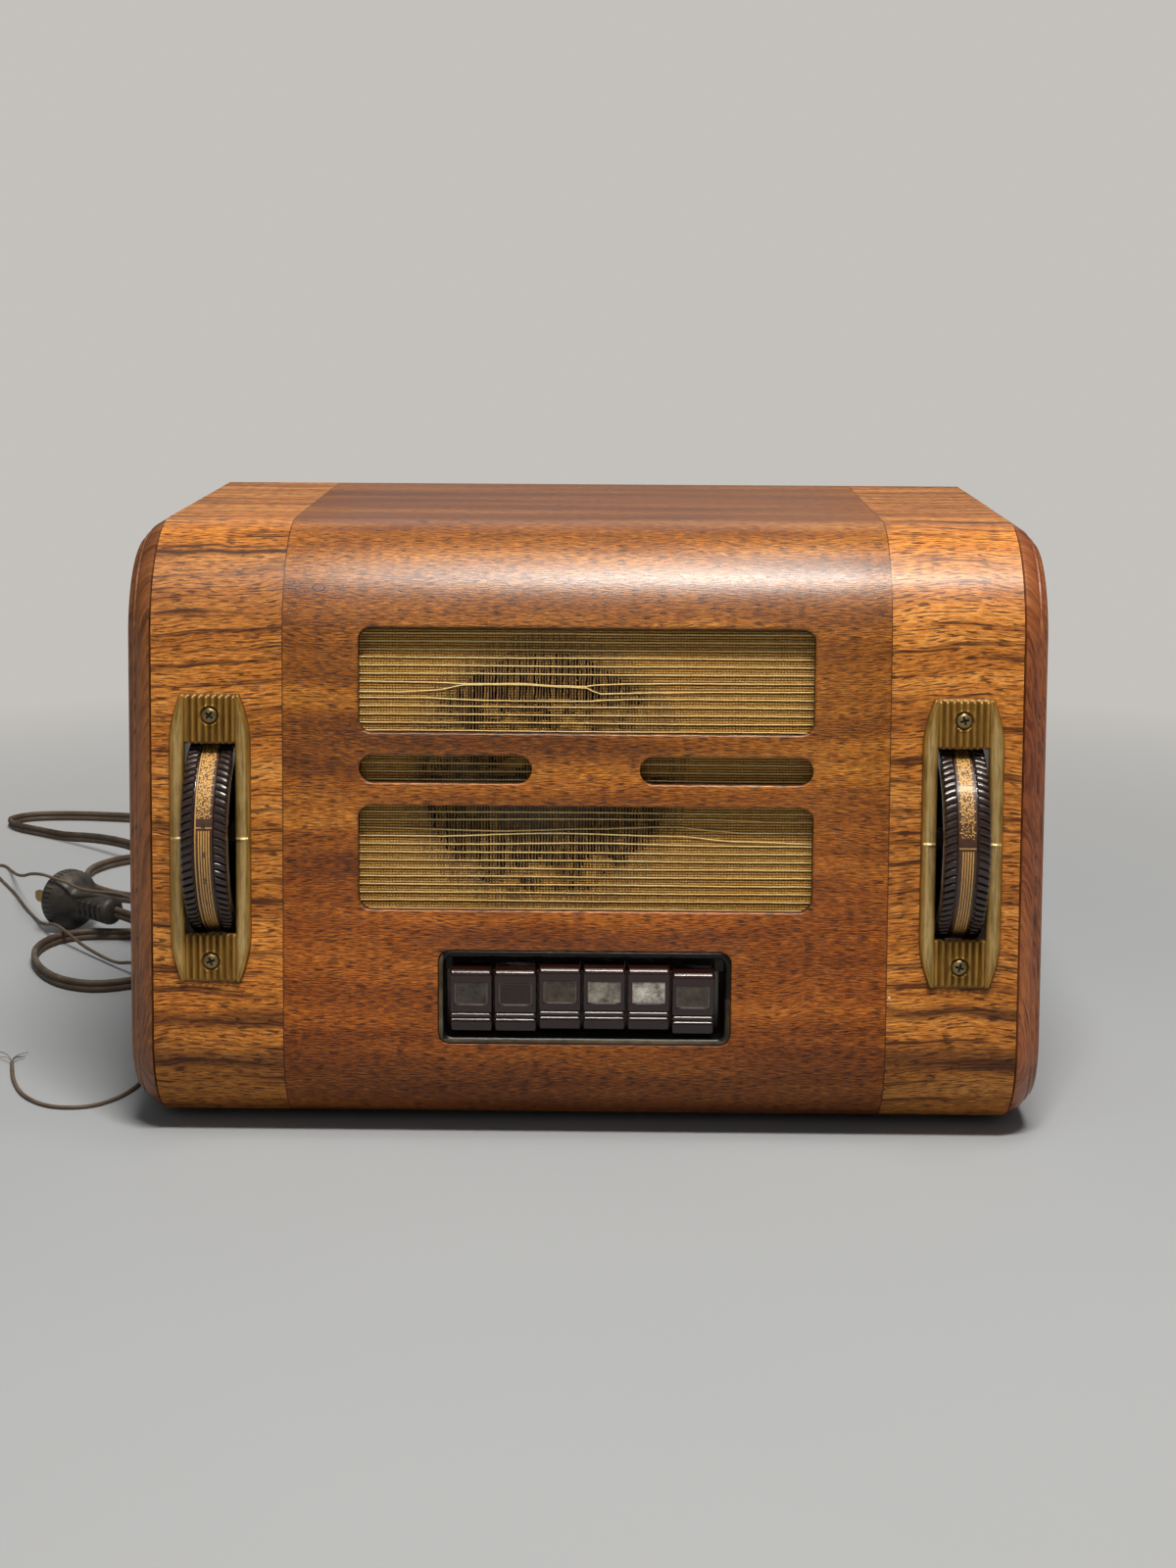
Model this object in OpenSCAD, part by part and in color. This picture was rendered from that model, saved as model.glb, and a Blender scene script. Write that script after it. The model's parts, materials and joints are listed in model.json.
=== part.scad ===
// Table radio with a bent plywood cabinet, two thumbwheels and six station keys

/* [Cabinet] */
// Overall width across the moulded cheeks
cabinet_w = 385; // [360:1:420]
// Height of the cabinet above its feet
cabinet_h = 253; // [248:1:280]
// Depth from the foot of the front to the open back
cabinet_d = 241; // [236:1:280]
// Angle by which the front leans back
face_lean = 7.6; // [5:0.1:9]
// Radius of the bend between front and top
top_radius = 52; // [40:1:58]
// Radius of the bend between front and bottom
bottom_radius = 36; // [28:1:42]
// Thickness of the bent plywood
wrap_wall = 6; // [5:0.5:7]
// Width of each solid wood cheek
cheek_w = 11.7; // [9:0.1:14]
// Step of the cheek moulding where it meets the plywood
cheek_step = 1.5; // [1:0.1:3]
// How far the plywood turns in under the cabinet
lip_depth = 56; // [50:1:60]
// Height of the felt feet
foot_h = 2; // [1:0.5:4]
// Diameter of the felt feet
foot_d = 20; // [14:1:26]

/* [Grille] */
// Width of the two grille windows
window_w = 189.6; // [170:1:196]
// How far the upper window reaches into the top bend
window_rise = 5.6; // [0:0.1:8]
// Wood between the lower window and the key opening
window_key_gap = 17; // [12:0.5:22]
// Height of the wood band between the two windows
slot_band = 30.3; // [26:0.1:36]
// Corner radius of the windows
window_r = 5.5; // [3:0.5:8]
// Length of the two narrow slots
slot_len = 72; // [50:1:80]
// Height of the two narrow slots
slot_h = 11.5; // [8:0.5:14]
// Distance between the middles of the slots
slot_pitch = 117; // [100:1:124]
// Thickness of the grille cloth
cloth_t = 0.4; // [0.3:0.1:0.5]
// Thickness of the baffle board
baffle_t = 5.5; // [4:0.5:7]

/* [Speaker] */
// Sideways place of the speaker
speaker_x = -17; // [-24:1:-10]
// Diameter of the speaker's flange
speaker_d = 127; // [110:1:130]
// How far the flange laps the hole in the baffle
flange_lap = 6; // [5.5:0.1:8]
// Distance from the flange's edge to the paper cone
cone_margin = 14.5; // [12:0.5:18]
// Depth of the paper cone
cone_depth = 34; // [28:1:38]
// Diameter of the field coil pot
magnet_d = 56; // [44:1:60]
// Length of the field coil pot
magnet_len = 38; // [30:1:42]

/* [Thumbwheels] */
// Distance of each thumbwheel's middle from the end of the plywood
wheel_margin = 24.4; // [23:0.1:27]
// How far the thumbwheels sit above the middle of the face's flat
wheel_rise = 1.2; // [-3:0.1:3]
// Radius of the thumbwheels
wheel_r = 43.5; // [41:0.1:44]
// How far the wheel's axle lies behind the face
wheel_sink = 24; // [22:0.1:27]
// Width of the thumbwheels
wheel_w = 19; // [16:0.5:19]
// Width of the printed band between the ribbed flanges
band_w = 7.8; // [6:0.1:9]
// Number of ribs on each flange
rib_count = 80; // [48:4:88]
// Radius of the wheel shafts
shaft_r = 3; // [2.5:0.1:3.5]

/* [Escutcheon plates] */
// Width of each plate
plate_w = 34; // [32:0.5:36]
// Height of each plate
plate_h = 121; // [116:1:126]
// Width of a plate at its two ends
plate_end_w = 24.7; // [23:0.1:28]
// Width of the opening for the wheel
plate_open_w = 21; // [20.5:0.1:22]
// Height of the opening for the wheel
plate_open_h = 79.5; // [78:0.5:84]
// Height of the rails above the wood
plate_t = 2.8; // [2:0.1:3.5]
// Distance between the two plate screws
plate_screw_gap = 103; // [100:0.5:106]

/* [Station keys] */
// Width of a key
key_w = 17.3; // [15:0.1:17.5]
// Distance from key to key
key_pitch = 18.55; // [18.3:0.05:18.8]
// Height of a key
key_h = 27.5; // [24:0.1:28]
// Depth of a key cap
key_depth = 12; // [10:0.5:13]
// How far a key goes in
key_travel = 7; // [4:0.5:8]
// Width of the key opening in the wood
key_open_w = 122.6; // [121:0.1:128]
// Height of the key opening in the wood
key_open_h = 39.3; // [37:0.1:42]
// Height of the key opening's middle, along the face
key_open_s = 60.6; // [59:0.1:62]
// Wall of the black liner round the keys
liner_t = 2.4; // [1.5:0.1:2.8]

/* [Chassis] */
// Width of the chassis
chassis_w = 296; // [280:1:310]
// Height of the chassis
chassis_h = 50; // [46:1:54]
// Sheet thickness of the chassis
sheet_t = 1.5; // [1:0.1:2]
// Distance of the chassis front behind the foot of the face
chassis_front = 62; // [60:1:66]
// Distance of the chassis back in front of the cabinet's back edge
chassis_inset = 25; // [20:1:30]
// Diameter of the metal tubes
tube_d = 30; // [26:1:32]
// Height of the metal tubes above their bases
tube_h = 52; // [45:1:60]
// Diameter of the tube bases
tube_base_d = 33; // [30:1:34]
// Height of the tube bases
tube_base_h = 12; // [10:1:15]
// Edge length of the square coil cans
can_w = 34; // [30:1:36]
// Height of the coil cans
can_h = 80; // [70:1:95]
// Width of the mains transformer
mains_w = 64; // [56:1:66]
// Height of the mains transformer
mains_h = 70; // [60:1:80]

/* [Tuning capacitor] */
// Length of the capacitor frame
gang_len = 60; // [60:1:64]
// Radius of the rotor plates
rotor_r = 20; // [17:0.5:20.5]
// Number of rotor plates in each of the two sections
rotor_plates = 7; // [5:1:8]
// Radius of the two cord drums
drum_r = 13; // [11:0.5:14]
// Width of the cord drums
drum_w = 5; // [4:0.5:6]

/* [Cords] */
// Width of the flat mains cord
cord_w = 6.5; // [5:0.1:6.6]
// Thickness of the flat mains cord
cord_t = 3.3; // [2.5:0.1:4]
// Diameter of the aerial wire
aerial_d = 1.8; // [1.2:0.1:2]
// Radius of the plug's head
plug_r = 17; // [14:0.5:18]
// Radius of the plug's stem
plug_stem_r = 8; // [6:0.5:9]

/* [Hidden] */
$fn = 64;

wood = "#8a4a22";
wood_dark = "#6b3018";
bakelite = "#24100e";
brass_old = "#6e5a2e";
steel = "#a9a9a4";
black = "#1c1c1c";
paper = "#2d2720";
alu = "#c4c6c8";

// Clearances
fit = 0.15;        // glued and seated wood
seat = 0.3;        // curved parts that sit on each other
run = 0.05;        // radial play of a shaft in its bush
eps = 0.01;

// The flat of the face, from the bottom bend to the top bend, along the face
face_bottom = (bottom_radius + bottom_radius * sin(face_lean)) / cos(face_lean);
face_top = (cabinet_h - top_radius + top_radius * sin(face_lean)) / cos(face_lean);
window_top = face_top + window_rise;
window_bottom = key_open_s + key_open_h / 2 + window_key_gap;
window_h = (window_top - window_bottom - slot_band) / 2;
window_gap = window_h + slot_band;
speaker_s = (window_top + window_bottom) / 2;
wheel_s = (face_bottom + face_top) / 2 + wheel_rise;

// Where things are: x to the right, y to the back from the foot of the face, z up from the floor
wheel_y = wheel_s * sin(face_lean) + wheel_sink * cos(face_lean);
wheel_z = foot_h + wheel_s * cos(face_lean) - wheel_sink * sin(face_lean);
front_y = -(cabinet_d + wheel_y - wheel_r) / 2;
shell_half = cabinet_w / 2 - cheek_w;
wheel_x = shell_half - wheel_margin;
board_top = foot_h + wrap_wall;
chassis_top = board_top + chassis_h;
chassis_back = cabinet_d - chassis_inset;
chassis_half = chassis_w / 2;

// Cloth, baffle and speaker, measured behind the face
cloth_out = -(wrap_wall + 0.8);
baffle_out = cloth_out - cloth_t - 0.1;
flange_out = baffle_out - baffle_t;
baffle_top = window_top + 2.7;
baffle_bottom = window_bottom - 9;
strip_top = face_top - 7;
flange_t = 1.5;
magnet_out = flange_out - cone_depth - 16;
baffle_hole_d = speaker_d - 2 * flange_lap;
cone_d = speaker_d - 2 * cone_margin;
bolt_circle_r = (baffle_hole_d + speaker_d) / 4 + 0.5;
bolt_r = 1.6;

// The keys, centred a little left of the opening, as the real ones are
key_count = 6;
keys_x = -0.9;
key_face_y = 5;
key_z = foot_h + key_open_s * cos(face_lean) - 1.3;
key_lift = [0, 0, 1.1, 1.1, 1.1, -0.6];
key_back_y = key_face_y + key_depth;
bank_front_y = key_back_y + key_travel + 1.5;
bank_back_y = bank_front_y + 30;
bank_z = key_z - key_h / 2 - 3;
bank_top_z = key_z + key_h / 2 - 6;
bank_half = (key_count * key_pitch + 4) / 2;
stem_w = 5;
stem_h = 3;
stem_play = 0.4;
collar_y = bank_back_y - 16;
collar_t = 2;
spring_r = 4.6;
spring_wire = 0.8;

// Wheel bands and shafts
band_t = 0.5;
band_r = wheel_r - 1.2;
web_t = 3;
rim_t = 7;
hub_r = 8;
plate_half = (plate_w - plate_open_w) / 2;
screw_seat = plate_t * 0.4;
bracket_t = 2;
bracket_x = wheel_x - wheel_w / 2 - 8;
pot_r = 13;
pot_len = 12;
bush_r = shaft_r + 1.6;

// The tuning capacitor
gang_y = 130;
gang_z = chassis_top + sheet_t + rotor_r + 7;
gang_half = rotor_r + 5;
drum_x = bracket_x - bracket_t - 9;
drum_flange = 1.6;
arm_x = drum_x - 8;
baffle_w = 2 * (arm_x - 1.9);
cloth_w = baffle_w - 14;
gang_x = drum_x - 5.9 - gang_len;
section_len = (gang_len - 3 * sheet_t) / 2;
plate_pitch = (section_len - 2) / (rotor_plates + 1);
rotor_plate_t = 0.6;

// Places of the parts on the chassis, as [x, y]
mixer_at = [118, 188];
if_tube_at = [gang_x - 24, 150];
detector_at = [36, 192];
output_at = [-52, 142];
rectifier_at = [-46, 190];
can_at = [[78, 190], [gang_x - 62, 148]];
filter_at = [-4, 192];
mains_at = [-106, 176];
output_transformer_at = [34.9 - bracket_x, 96];
sockets_at = [mixer_at, if_tube_at, detector_at, output_at, rectifier_at];
socket_h = 3;
socket_bar = 37;
filter_r = 17;

// Cord routes in the row's own frame, chosen by hand, with y from the middle of the cabinet
mains_out = [
    [-112, 119, 34], [-112, 130, 34], [-112, 142, 31], [-112, 153, 24], [-112, 162, 14],
    [-112, 173, 6], [-112, 188, 3.4], [-112, 205, 3.4], [-112, 221, 3.4]
];
mains_away = [
    [-114, 229, 10], [-130, 250, 9], [-148, 274, 4], [-168, 302, 3.4], [-192, 336, 3.4],
    [-216, 370, 3.4], [-240, 404, 3.4], [-264, 432, 3.4], [-291, 450, 3.4], [-322, 457, 3.4],
    [-351, 459, 3.4], [-373, 455, 3.4], [-383, 442, 3.4], [-375, 427, 3.4], [-357, 414, 3.4],
    [-338, 400, 4], [-314, 379, 8], [-290, 356, 10.4], [-266, 334, 9], [-245, 318, 4],
    [-225, 314, 3.4], [-213, 327, 3.4], [-218, 345, 3.4], [-240, 353, 3.4], [-268, 352, 3.4],
    [-290, 341, 3.4], [-302, 320, 3.4], [-301, 296, 3.4], [-291, 274, 3.4], [-272, 258, 3.4],
    [-248, 250, 3.4], [-228, 240, 3.4], [-215, 222, 3.4], [-216, 200, 3.4], [-232, 185, 3.4],
    [-255, 181, 3.4], [-275, 180, 3.4], [-289, 171, 3.4], [-295, 154, 3.4], [-293, 134, 3.4],
    [-284, 112, 3.4], [-270, 94, 3.4], [-252, 86, 3.4], [-234, 92, 3.4], [-220, 108, 3.4],
    [-213, 128, 3.4], [-216, 147, 5], [-230, 159, 10], [-245, 168, 15], [-258, 176, 17]
];
aerial_route = [
    [-140, 98.5, 42], [-141, 108, 42], [-144, 120, 36], [-149, 131, 22], [-156, 141, 8],
    [-167, 150, 1], [-184, 160, 1], [-202, 168, 3], [-222, 174, 12], [-240, 178, 20],
    [-256, 180, 26], [-276, 183, 27.5], [-288, 187, 31], [-296, 192, 32], [-304, 202, 31],
    [-316, 226, 25], [-328, 256, 16], [-340, 288, 8], [-352, 320, 2], [-359, 336, 1],
    [-360, 327, 1], [-352, 304, 1], [-338, 272, 1], [-324, 241, 1], [-312, 217, 1],
    [-303, 197, 4], [-290, 176, 9], [-270, 153, 4], [-250, 130, 3], [-236, 112, 7.5],
    [-224, 84, 7.5], [-214, 48, 2], [-206, 8, 1], [-200, -26, 1], [-201, -52, 1],
    [-207, -70, 1], [-218, -81, 1], [-234, -81, 1], [-248, -69, 1], [-258, -49, 1],
    [-265, -25, 1]
];
coil_at = [-70, 240];
coil_in_r = 35;
coil_out_r = 43.4;
coil_h = 13.5;
plug_at = [-287, 200, 17];
plug_turn = 140;
grommet_at = [-112, 34];
grommet_len = 22;
aerial_hole_at = [-140, 42];
aerial_boss_len = 98 - front_y - chassis_back;

// Frames
module room() translate([0, front_y, 0]) children();
module face(x = 0, s = 0, out = 0) {
    translate([0, front_y, foot_h]) rotate([90 - face_lean, 0, 0]) translate([x, s, out]) children();
}
module speaker_frame(out = 0) face(speaker_x, speaker_s, out) children();

// Rounded rectangle with true arcs
module rounded(w, h, r) {
    square([w - 2 * r, h], center = true);
    square([w, h - 2 * r], center = true);
    for (sx = [-1, 1], sy = [-1, 1]) translate([sx * (w / 2 - r), sy * (h / 2 - r)]) circle(r);
}

// Cylinder along X, from x0 to x1
module rod_x(r, x0, x1) translate([x0, 0, 0]) rotate([0, 90, 0]) cylinder(r = r, h = x1 - x0);
// Cylinder along Y, from y0 to y1
module rod_y(r, y0, y1) translate([0, y0, 0]) rotate([-90, 0, 0]) cylinder(r = r, h = y1 - y0);

// Centres of the two bends in the side profile, as [depth, height]
top_bend = [
    top_radius / cos(face_lean) + (cabinet_h - top_radius) * tan(face_lean), cabinet_h - top_radius
];
bottom_bend = [bottom_radius / cos(face_lean) + bottom_radius * tan(face_lean), bottom_radius];

// Points along an arc round c, from angle a0 to a1
function arc(c, r, a0, a1, n = 20) =
    [for (i = [0:n]) let (a = a0 + (a1 - a0) * i / n) c + r * [cos(a), sin(a)]];

// A slab of the cabinet's side profile between two places across it, moved inwards by inset
module profile_slab(x0, x1, inset = 0, back = 0) {
    face_angle = 180 - face_lean;
    translate([x0, front_y, foot_h]) rotate([90, 0, 90]) linear_extrude(x1 - x0) polygon(concat(
        [[cabinet_d + back, inset]],
        arc(bottom_bend, bottom_radius - inset, 270, face_angle),
        arc(top_bend, top_radius - inset, face_angle, 90),
        [[cabinet_d + back, cabinet_h - inset]]
    ));
}

module face_cut(x, s, w, h, r) {
    face(x, s, -wrap_wall * 3) linear_extrude(wrap_wall * 4) rounded(w, h, r);
}

module cabinet_wrap() color(wood_dark) difference() {
    profile_slab(-shell_half, shell_half);
    profile_slab(-shell_half - 1, shell_half + 1, wrap_wall, 1);
    // The board closes the bottom behind the lip
    translate([-cabinet_w / 2, front_y + lip_depth, 0]) cube([cabinet_w, cabinet_d, board_top + 2]);
    for (k = [-1, 1]) {
        face_cut(0, speaker_s + k * window_gap / 2, window_w, window_h, window_r);
        face_cut(k * slot_pitch / 2, speaker_s, slot_len, slot_h, slot_h / 2 - eps);
        face_cut(k * wheel_x, wheel_s, plate_open_w + 2, plate_open_h + 6, 2);
        for (j = [-1, 1]) face(k * wheel_x, wheel_s + j * plate_screw_gap / 2, -wrap_wall * 2)
            cylinder(r = 1.6, h = wrap_wall * 3);
    }
    face_cut(0, key_open_s, key_open_w, key_open_h, 5);
}

// Each cheek is a stack of steps that follow its moulding, with a rabbet inside the plywood
module side_board(k) color(wood) {
    steps = [
        [0, 0.09, cheek_step + 1.7], [0.08, 0.26, cheek_step + 0.3], [0.25, 0.42, cheek_step + 1.1],
        [0.41, 0.6, cheek_step + 2.4], [0.59, 0.78, cheek_step + 4.8], [0.77, 0.92, cheek_step + 7],
        [0.91, 1, cheek_step + 9.5]
    ];
    mirror([k < 0 ? 1 : 0, 0, 0]) union() {
        for (step = steps)
            profile_slab(shell_half + step[0] * cheek_w, shell_half + step[1] * cheek_w, step[2]);
        profile_slab(shell_half - wrap_wall, shell_half + cheek_w / 4, wrap_wall + fit);
    }
}

module bottom_board() color(wood) difference() {
    translate([-shell_half + fit, front_y + lip_depth + fit, foot_h])
        cube([2 * (shell_half - fit), cabinet_d - lip_depth - fit, wrap_wall]);
    for (sx = [-1, 1], y = chassis_bolt_y) room() translate([sx * chassis_bolt_x, y, 0])
        cylinder(r = bolt_r + 0.4, h = board_top + 1);
}
chassis_flange = 14;
chassis_bolt_x = chassis_half - chassis_flange / 2;
chassis_bolt_y = [chassis_front + 14, chassis_back - 14];

block_w = 12;
module glue_blocks() color(wood) room() {
    block_x = shell_half - wrap_wall - fit;
    for (sx = [-1, 1]) {
        translate([sx > 0 ? block_x - block_w : -block_x, lip_depth + 4, board_top])
            cube([block_w, cabinet_d - lip_depth - 10, block_w]);
        translate([sx > 0 ? block_x - block_w : -block_x, 90, foot_h + cabinet_h - wrap_wall - fit - block_w])
            cube([block_w, cabinet_d - 96, block_w]);
    }
}

module feet() color(black) room() {
    for (sx = [-1, 1], y = [62, cabinet_d - 22])
        translate([sx * (shell_half - 24), y, 0]) cylinder(d = foot_d, h = foot_h);
}

// The board carries a spacer strip at each end, outside the cloth, that rests on the cabinet wall
module baffle_board() color(wood) difference() {
    strip_w = (baffle_w - cloth_w) / 2 - seat;
    face(0, baffle_bottom, baffle_out - baffle_t) union() {
        translate([-baffle_w / 2, 0, 0]) cube([baffle_w, baffle_top - baffle_bottom, baffle_t]);
        for (sx = [-1, 1]) translate([sx > 0 ? baffle_w / 2 - strip_w : -baffle_w / 2, 0, 0])
            cube([strip_w, strip_top - baffle_bottom, baffle_t - baffle_out - wrap_wall - fit]);
    }
    speaker_frame(baffle_out - baffle_t - 1) cylinder(d = baffle_hole_d, h = baffle_t + 2);
    speaker_frame(baffle_out - baffle_t - 1) bolt_places() cylinder(r = bolt_r + 0.2, h = baffle_t + 2);
}

module bolt_places() for (a = [45:90:315]) rotate(a) translate([bolt_circle_r, 0, 0]) children();

module grille_cloth() color(brass_old)
    face(0, (baffle_top + baffle_bottom) / 2, cloth_out - cloth_t) linear_extrude(cloth_t)
        square([cloth_w, baffle_top - baffle_bottom - 1], center = true);

// Outline of an escutcheon plate, with bowed shoulders
module plate_outline(grow = 0) {
    w = plate_w / 2 + grow;
    h = plate_h / 2 + grow;
    e = plate_end_w / 2 + grow;
    bow = w - e;
    polygon([
        for (q = [[1, 1], [-1, 1], [-1, -1], [1, -1]])
            let (pts = [[w, h - 21], [w - bow * 0.18, h - 13], [w - bow * 0.5, h - 6], [e, h]])
            for (i = [0:3]) let (p = pts[q[0] * q[1] > 0 ? i : 3 - i]) [q[0] * p[0], q[1] * p[1]]
    ]);
}

module plate(k) color(brass_old) difference() {
    flute_pitch = plate_open_w / 7.5;
    rail_x = plate_open_w / 2;
    face(k * wheel_x, wheel_s, 0) union() {
        linear_extrude(plate_t * 0.45) difference() {
            plate_outline();
            square([plate_open_w, plate_open_h], center = true);
        }
        // Side rails and the index mark across them
        linear_extrude(plate_t * 0.85) difference() {
            plate_outline(-0.3);
            square([plate_open_w + 0.3, plate_h + 2], center = true);
        }
        linear_extrude(plate_t) difference() {
            plate_outline(-1.5);
            square([plate_open_w + 2.4, plate_h + 2], center = true);
        }
        for (s = [-1, 1]) translate([s * (rail_x + plate_half / 2) - plate_half / 2 + 0.5, -0.5, 0])
            cube([plate_half - 1, 1, plate_t + 0.5]);
        // Upright flutes at both ends
        for (j = [-1, 1], i = [-3.5:3.5])
            translate([i * flute_pitch - 0.8, j > 0 ? plate_open_h / 2 + 1 : -plate_h / 2 + 0.6, 0])
                cube([1.6, plate_h / 2 - plate_open_h / 2 - 1.6, plate_t * 0.8]);
    }
    for (j = [-1, 1]) face(k * wheel_x, wheel_s + j * plate_screw_gap / 2, 0) {
        translate([0, 0, screw_seat]) cylinder(r = 4, h = plate_t);
        translate([0, 0, -1]) cylinder(r = 1.7, h = plate_t + 2);
    }
}

module plate_screws() color(brass_old) for (k = [-1, 1], j = [-1, 1])
    face(k * wheel_x, wheel_s + j * plate_screw_gap / 2, screw_seat) difference() {
        union() {
            cylinder(r = 3.1, h = 0.7);
            translate([0, 0, 0.7]) cylinder(r1 = 3.1, r2 = 2, h = 0.8);
            translate([0, 0, -wrap_wall - screw_seat]) cylinder(r = 1.5, h = wrap_wall + screw_seat + eps);
        }
        for (a = [0, 90]) rotate(a + 20) translate([-1.7, -0.35, 0.6]) cube([3.4, 0.7, 2]);
    }

module key_bezel() color(black) face(0, key_open_s, -wrap_wall - 9) difference() {
    union() {
        linear_extrude(wrap_wall + 9.3) rounded(key_open_w - 2 * fit, key_open_h - 2 * fit, 5 - fit);
        translate([0, 0, 9 - seat - 1.5]) linear_extrude(1.5) rounded(key_open_w + 8, key_open_h + 8, 7);
    }
    translate([0, 0, -1]) linear_extrude(wrap_wall + 20)
        rounded(key_open_w - 2 * liner_t, key_open_h - 2 * liner_t, 5 - liner_t / 2);
}

// Outline of a ribbed flange
module ribbed(r, n, depth) polygon([
    for (i = [0:n - 1]) for (q = [[0.02, 0], [0.3, 1], [0.7, 1], [0.98, 0]])
        (r - depth * (1 - q[1])) * [cos(360 * (i + q[0]) / n), sin(360 * (i + q[0]) / n)]
]);

module wheel_frame(x = 0) translate([x, front_y + wheel_y, wheel_z]) children();

module thumbwheel(k) color(bakelite) wheel_frame(k * wheel_x) rotate([0, 90, 0]) {
    flange = (wheel_w - band_w) / 2;
    difference() {
        union() {
            cylinder(r = band_r - band_t - run, h = wheel_w - 2, center = true);
            for (s = [-1, 1]) translate([0, 0, s > 0 ? band_w / 2 : -band_w / 2 - flange])
                linear_extrude(flange) ribbed(wheel_r, rib_count, 0.9);
        }
        for (s = [-1, 1]) translate([0, 0, s > 0 ? web_t / 2 : -wheel_w / 2 - 1]) difference() {
            cylinder(r = wheel_r - rim_t, h = wheel_w / 2 + 1 - web_t / 2);
            cylinder(r = hub_r, h = wheel_w);
        }
        cylinder(r = shaft_r + run, h = wheel_w + 2, center = true);
    }
}

module wheel_band(k) color("#c89a4a") wheel_frame(k * wheel_x) rotate([0, 90, 0]) difference() {
    cylinder(r = band_r, h = band_w - 0.2, center = true);
    cylinder(r = band_r - band_t, h = band_w + 1, center = true);
}

module volume_shaft() color(steel)
    wheel_frame() rod_x(shaft_r, -wheel_x - wheel_w / 2, -bracket_x + bracket_t + pot_len - 3);

module volume_control() color(alu) wheel_frame() difference() {
    union() {
        rod_x(pot_r, -bracket_x + bracket_t, -bracket_x + bracket_t + pot_len);
        rod_x(bush_r, -bracket_x - 6, -bracket_x + bracket_t + eps);
        rod_x(7, -bracket_x - 2.2, -bracket_x);
        for (i = [-1:1]) translate([-bracket_x + bracket_t + 1, -pot_r - 4, i * 5 - 1]) cube([1, 8, 2]);
    }
    rod_x(shaft_r + run, -bracket_x - 7, -bracket_x + bracket_t + pot_len - 2);
}

// Sheet brackets that stand on the chassis and reach forward to the wheel shafts
module bracket_arm(x0) difference() {
    translate([x0, 0, 0]) rotate([90, 0, 90]) linear_extrude(bracket_t) polygon([
        [wheel_y - 16, wheel_z - 10], [wheel_y - 16, wheel_z + 10], [wheel_y - 8, wheel_z + 17],
        [wheel_y + 10, wheel_z + 17], [chassis_front + 34, chassis_top + 12], [chassis_front + 34, chassis_top],
        [chassis_front, chassis_top], [chassis_front, chassis_top + 16]
    ]);
    translate([0, wheel_y, wheel_z]) rod_x(bush_r + run, x0 - 1, x0 + bracket_t + 1);
}

module shaft_brackets() color(steel) room() union() {
    bracket_foot = 10;
    bracket_arm(-bracket_x);
    translate([-bracket_x, chassis_front, chassis_top]) cube([bracket_foot, 34, sheet_t]);
    bracket_arm(bracket_x - bracket_t);
    bracket_arm(arm_x);
    translate([arm_x, chassis_front, chassis_top]) cube([bracket_x - arm_x, 34, sheet_t]);
    // Bearing bushes for the tuning shaft
    for (x0 = [bracket_x - bracket_t - 2, arm_x - 2]) translate([0, wheel_y, wheel_z]) difference() {
        rod_x(bush_r + run + eps, x0, x0 + bracket_t + 4);
        rod_x(shaft_r + run, x0 - 1, x0 + bracket_t + 5);
    }
}

module drum() rotate([0, 90, 0]) union() {
    cylinder(r = drum_r, h = drum_w, center = true);
    for (s = [-1, 1]) translate([0, 0, s * (drum_w / 2 - 0.6)])
        cylinder(r = drum_r + drum_flange, h = 1.2, center = true);
}

module tuning_shaft() color(steel) wheel_frame() union() {
    rod_x(shaft_r, arm_x - 4, wheel_x + wheel_w / 2);
    translate([drum_x, 0, 0]) drum();
}

// The drive cord round both drums
module dial_cord() color(brass_old) {
    run_y = gang_y - wheel_y;
    run_z = gang_z - wheel_z;
    run_len = sqrt(run_y * run_y + run_z * run_z);
    translate([drum_x, front_y + wheel_y, wheel_z]) rotate([atan2(run_z, run_y), 0, 0]) rotate([90, 0, 90])
        translate([0, 0, -0.5]) linear_extrude(1) difference() {
            loop_outline(drum_r + 1.3, run_len);
            loop_outline(drum_r + 0.3, run_len);
        }
}
module loop_outline(r, len) {
    translate([0, -r]) square([len, 2 * r]);
    circle(r);
    translate([len, 0]) circle(r);
}

module gang_frame() color(steel) room() difference() {
    union() {
        translate([gang_x, gang_y - gang_half, chassis_top]) cube([gang_len, 2 * gang_half, sheet_t]);
        for (x = [gang_x, gang_x + section_len + sheet_t, gang_x + gang_len - sheet_t])
            translate([x, gang_y - gang_half, chassis_top]) cube([sheet_t, 2 * gang_half, gang_z - chassis_top + 10]);
        for (x = [gang_x - 2, gang_x + gang_len - sheet_t]) translate([0, gang_y, gang_z])
            rod_x(bush_r + 1, x, x + sheet_t + 2);
    }
    translate([0, gang_y, gang_z]) rod_x(shaft_r + run, gang_x - 5, gang_x + gang_len + 5);
}

// Fixed plates below the rotor, held by an insulating bar on each side
module gang_stator() color(alu) room() for (q = [0, 1]) {
    x0 = gang_x + sheet_t + q * (section_len + sheet_t) + 1;
    union() {
        for (i = [0:rotor_plates]) translate([x0 + i * plate_pitch, gang_y - rotor_r - 2, gang_z - rotor_r - 2])
            difference() {
                cube([rotor_plate_t, 2 * rotor_r + 4, rotor_r - 2]);
                translate([-1, rotor_r + 2, rotor_r + 2]) rod_x(shaft_r + 3, 0, rotor_plate_t + 2);
            }
        for (s = [-1, 1]) translate([x0 - 1 + seat, gang_y + s * (rotor_r + 2) - (s > 0 ? 1.5 : 0.5), gang_z - rotor_r - 2])
            cube([section_len - 2 * seat, 2, rotor_r - 4]);
    }
}

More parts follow.
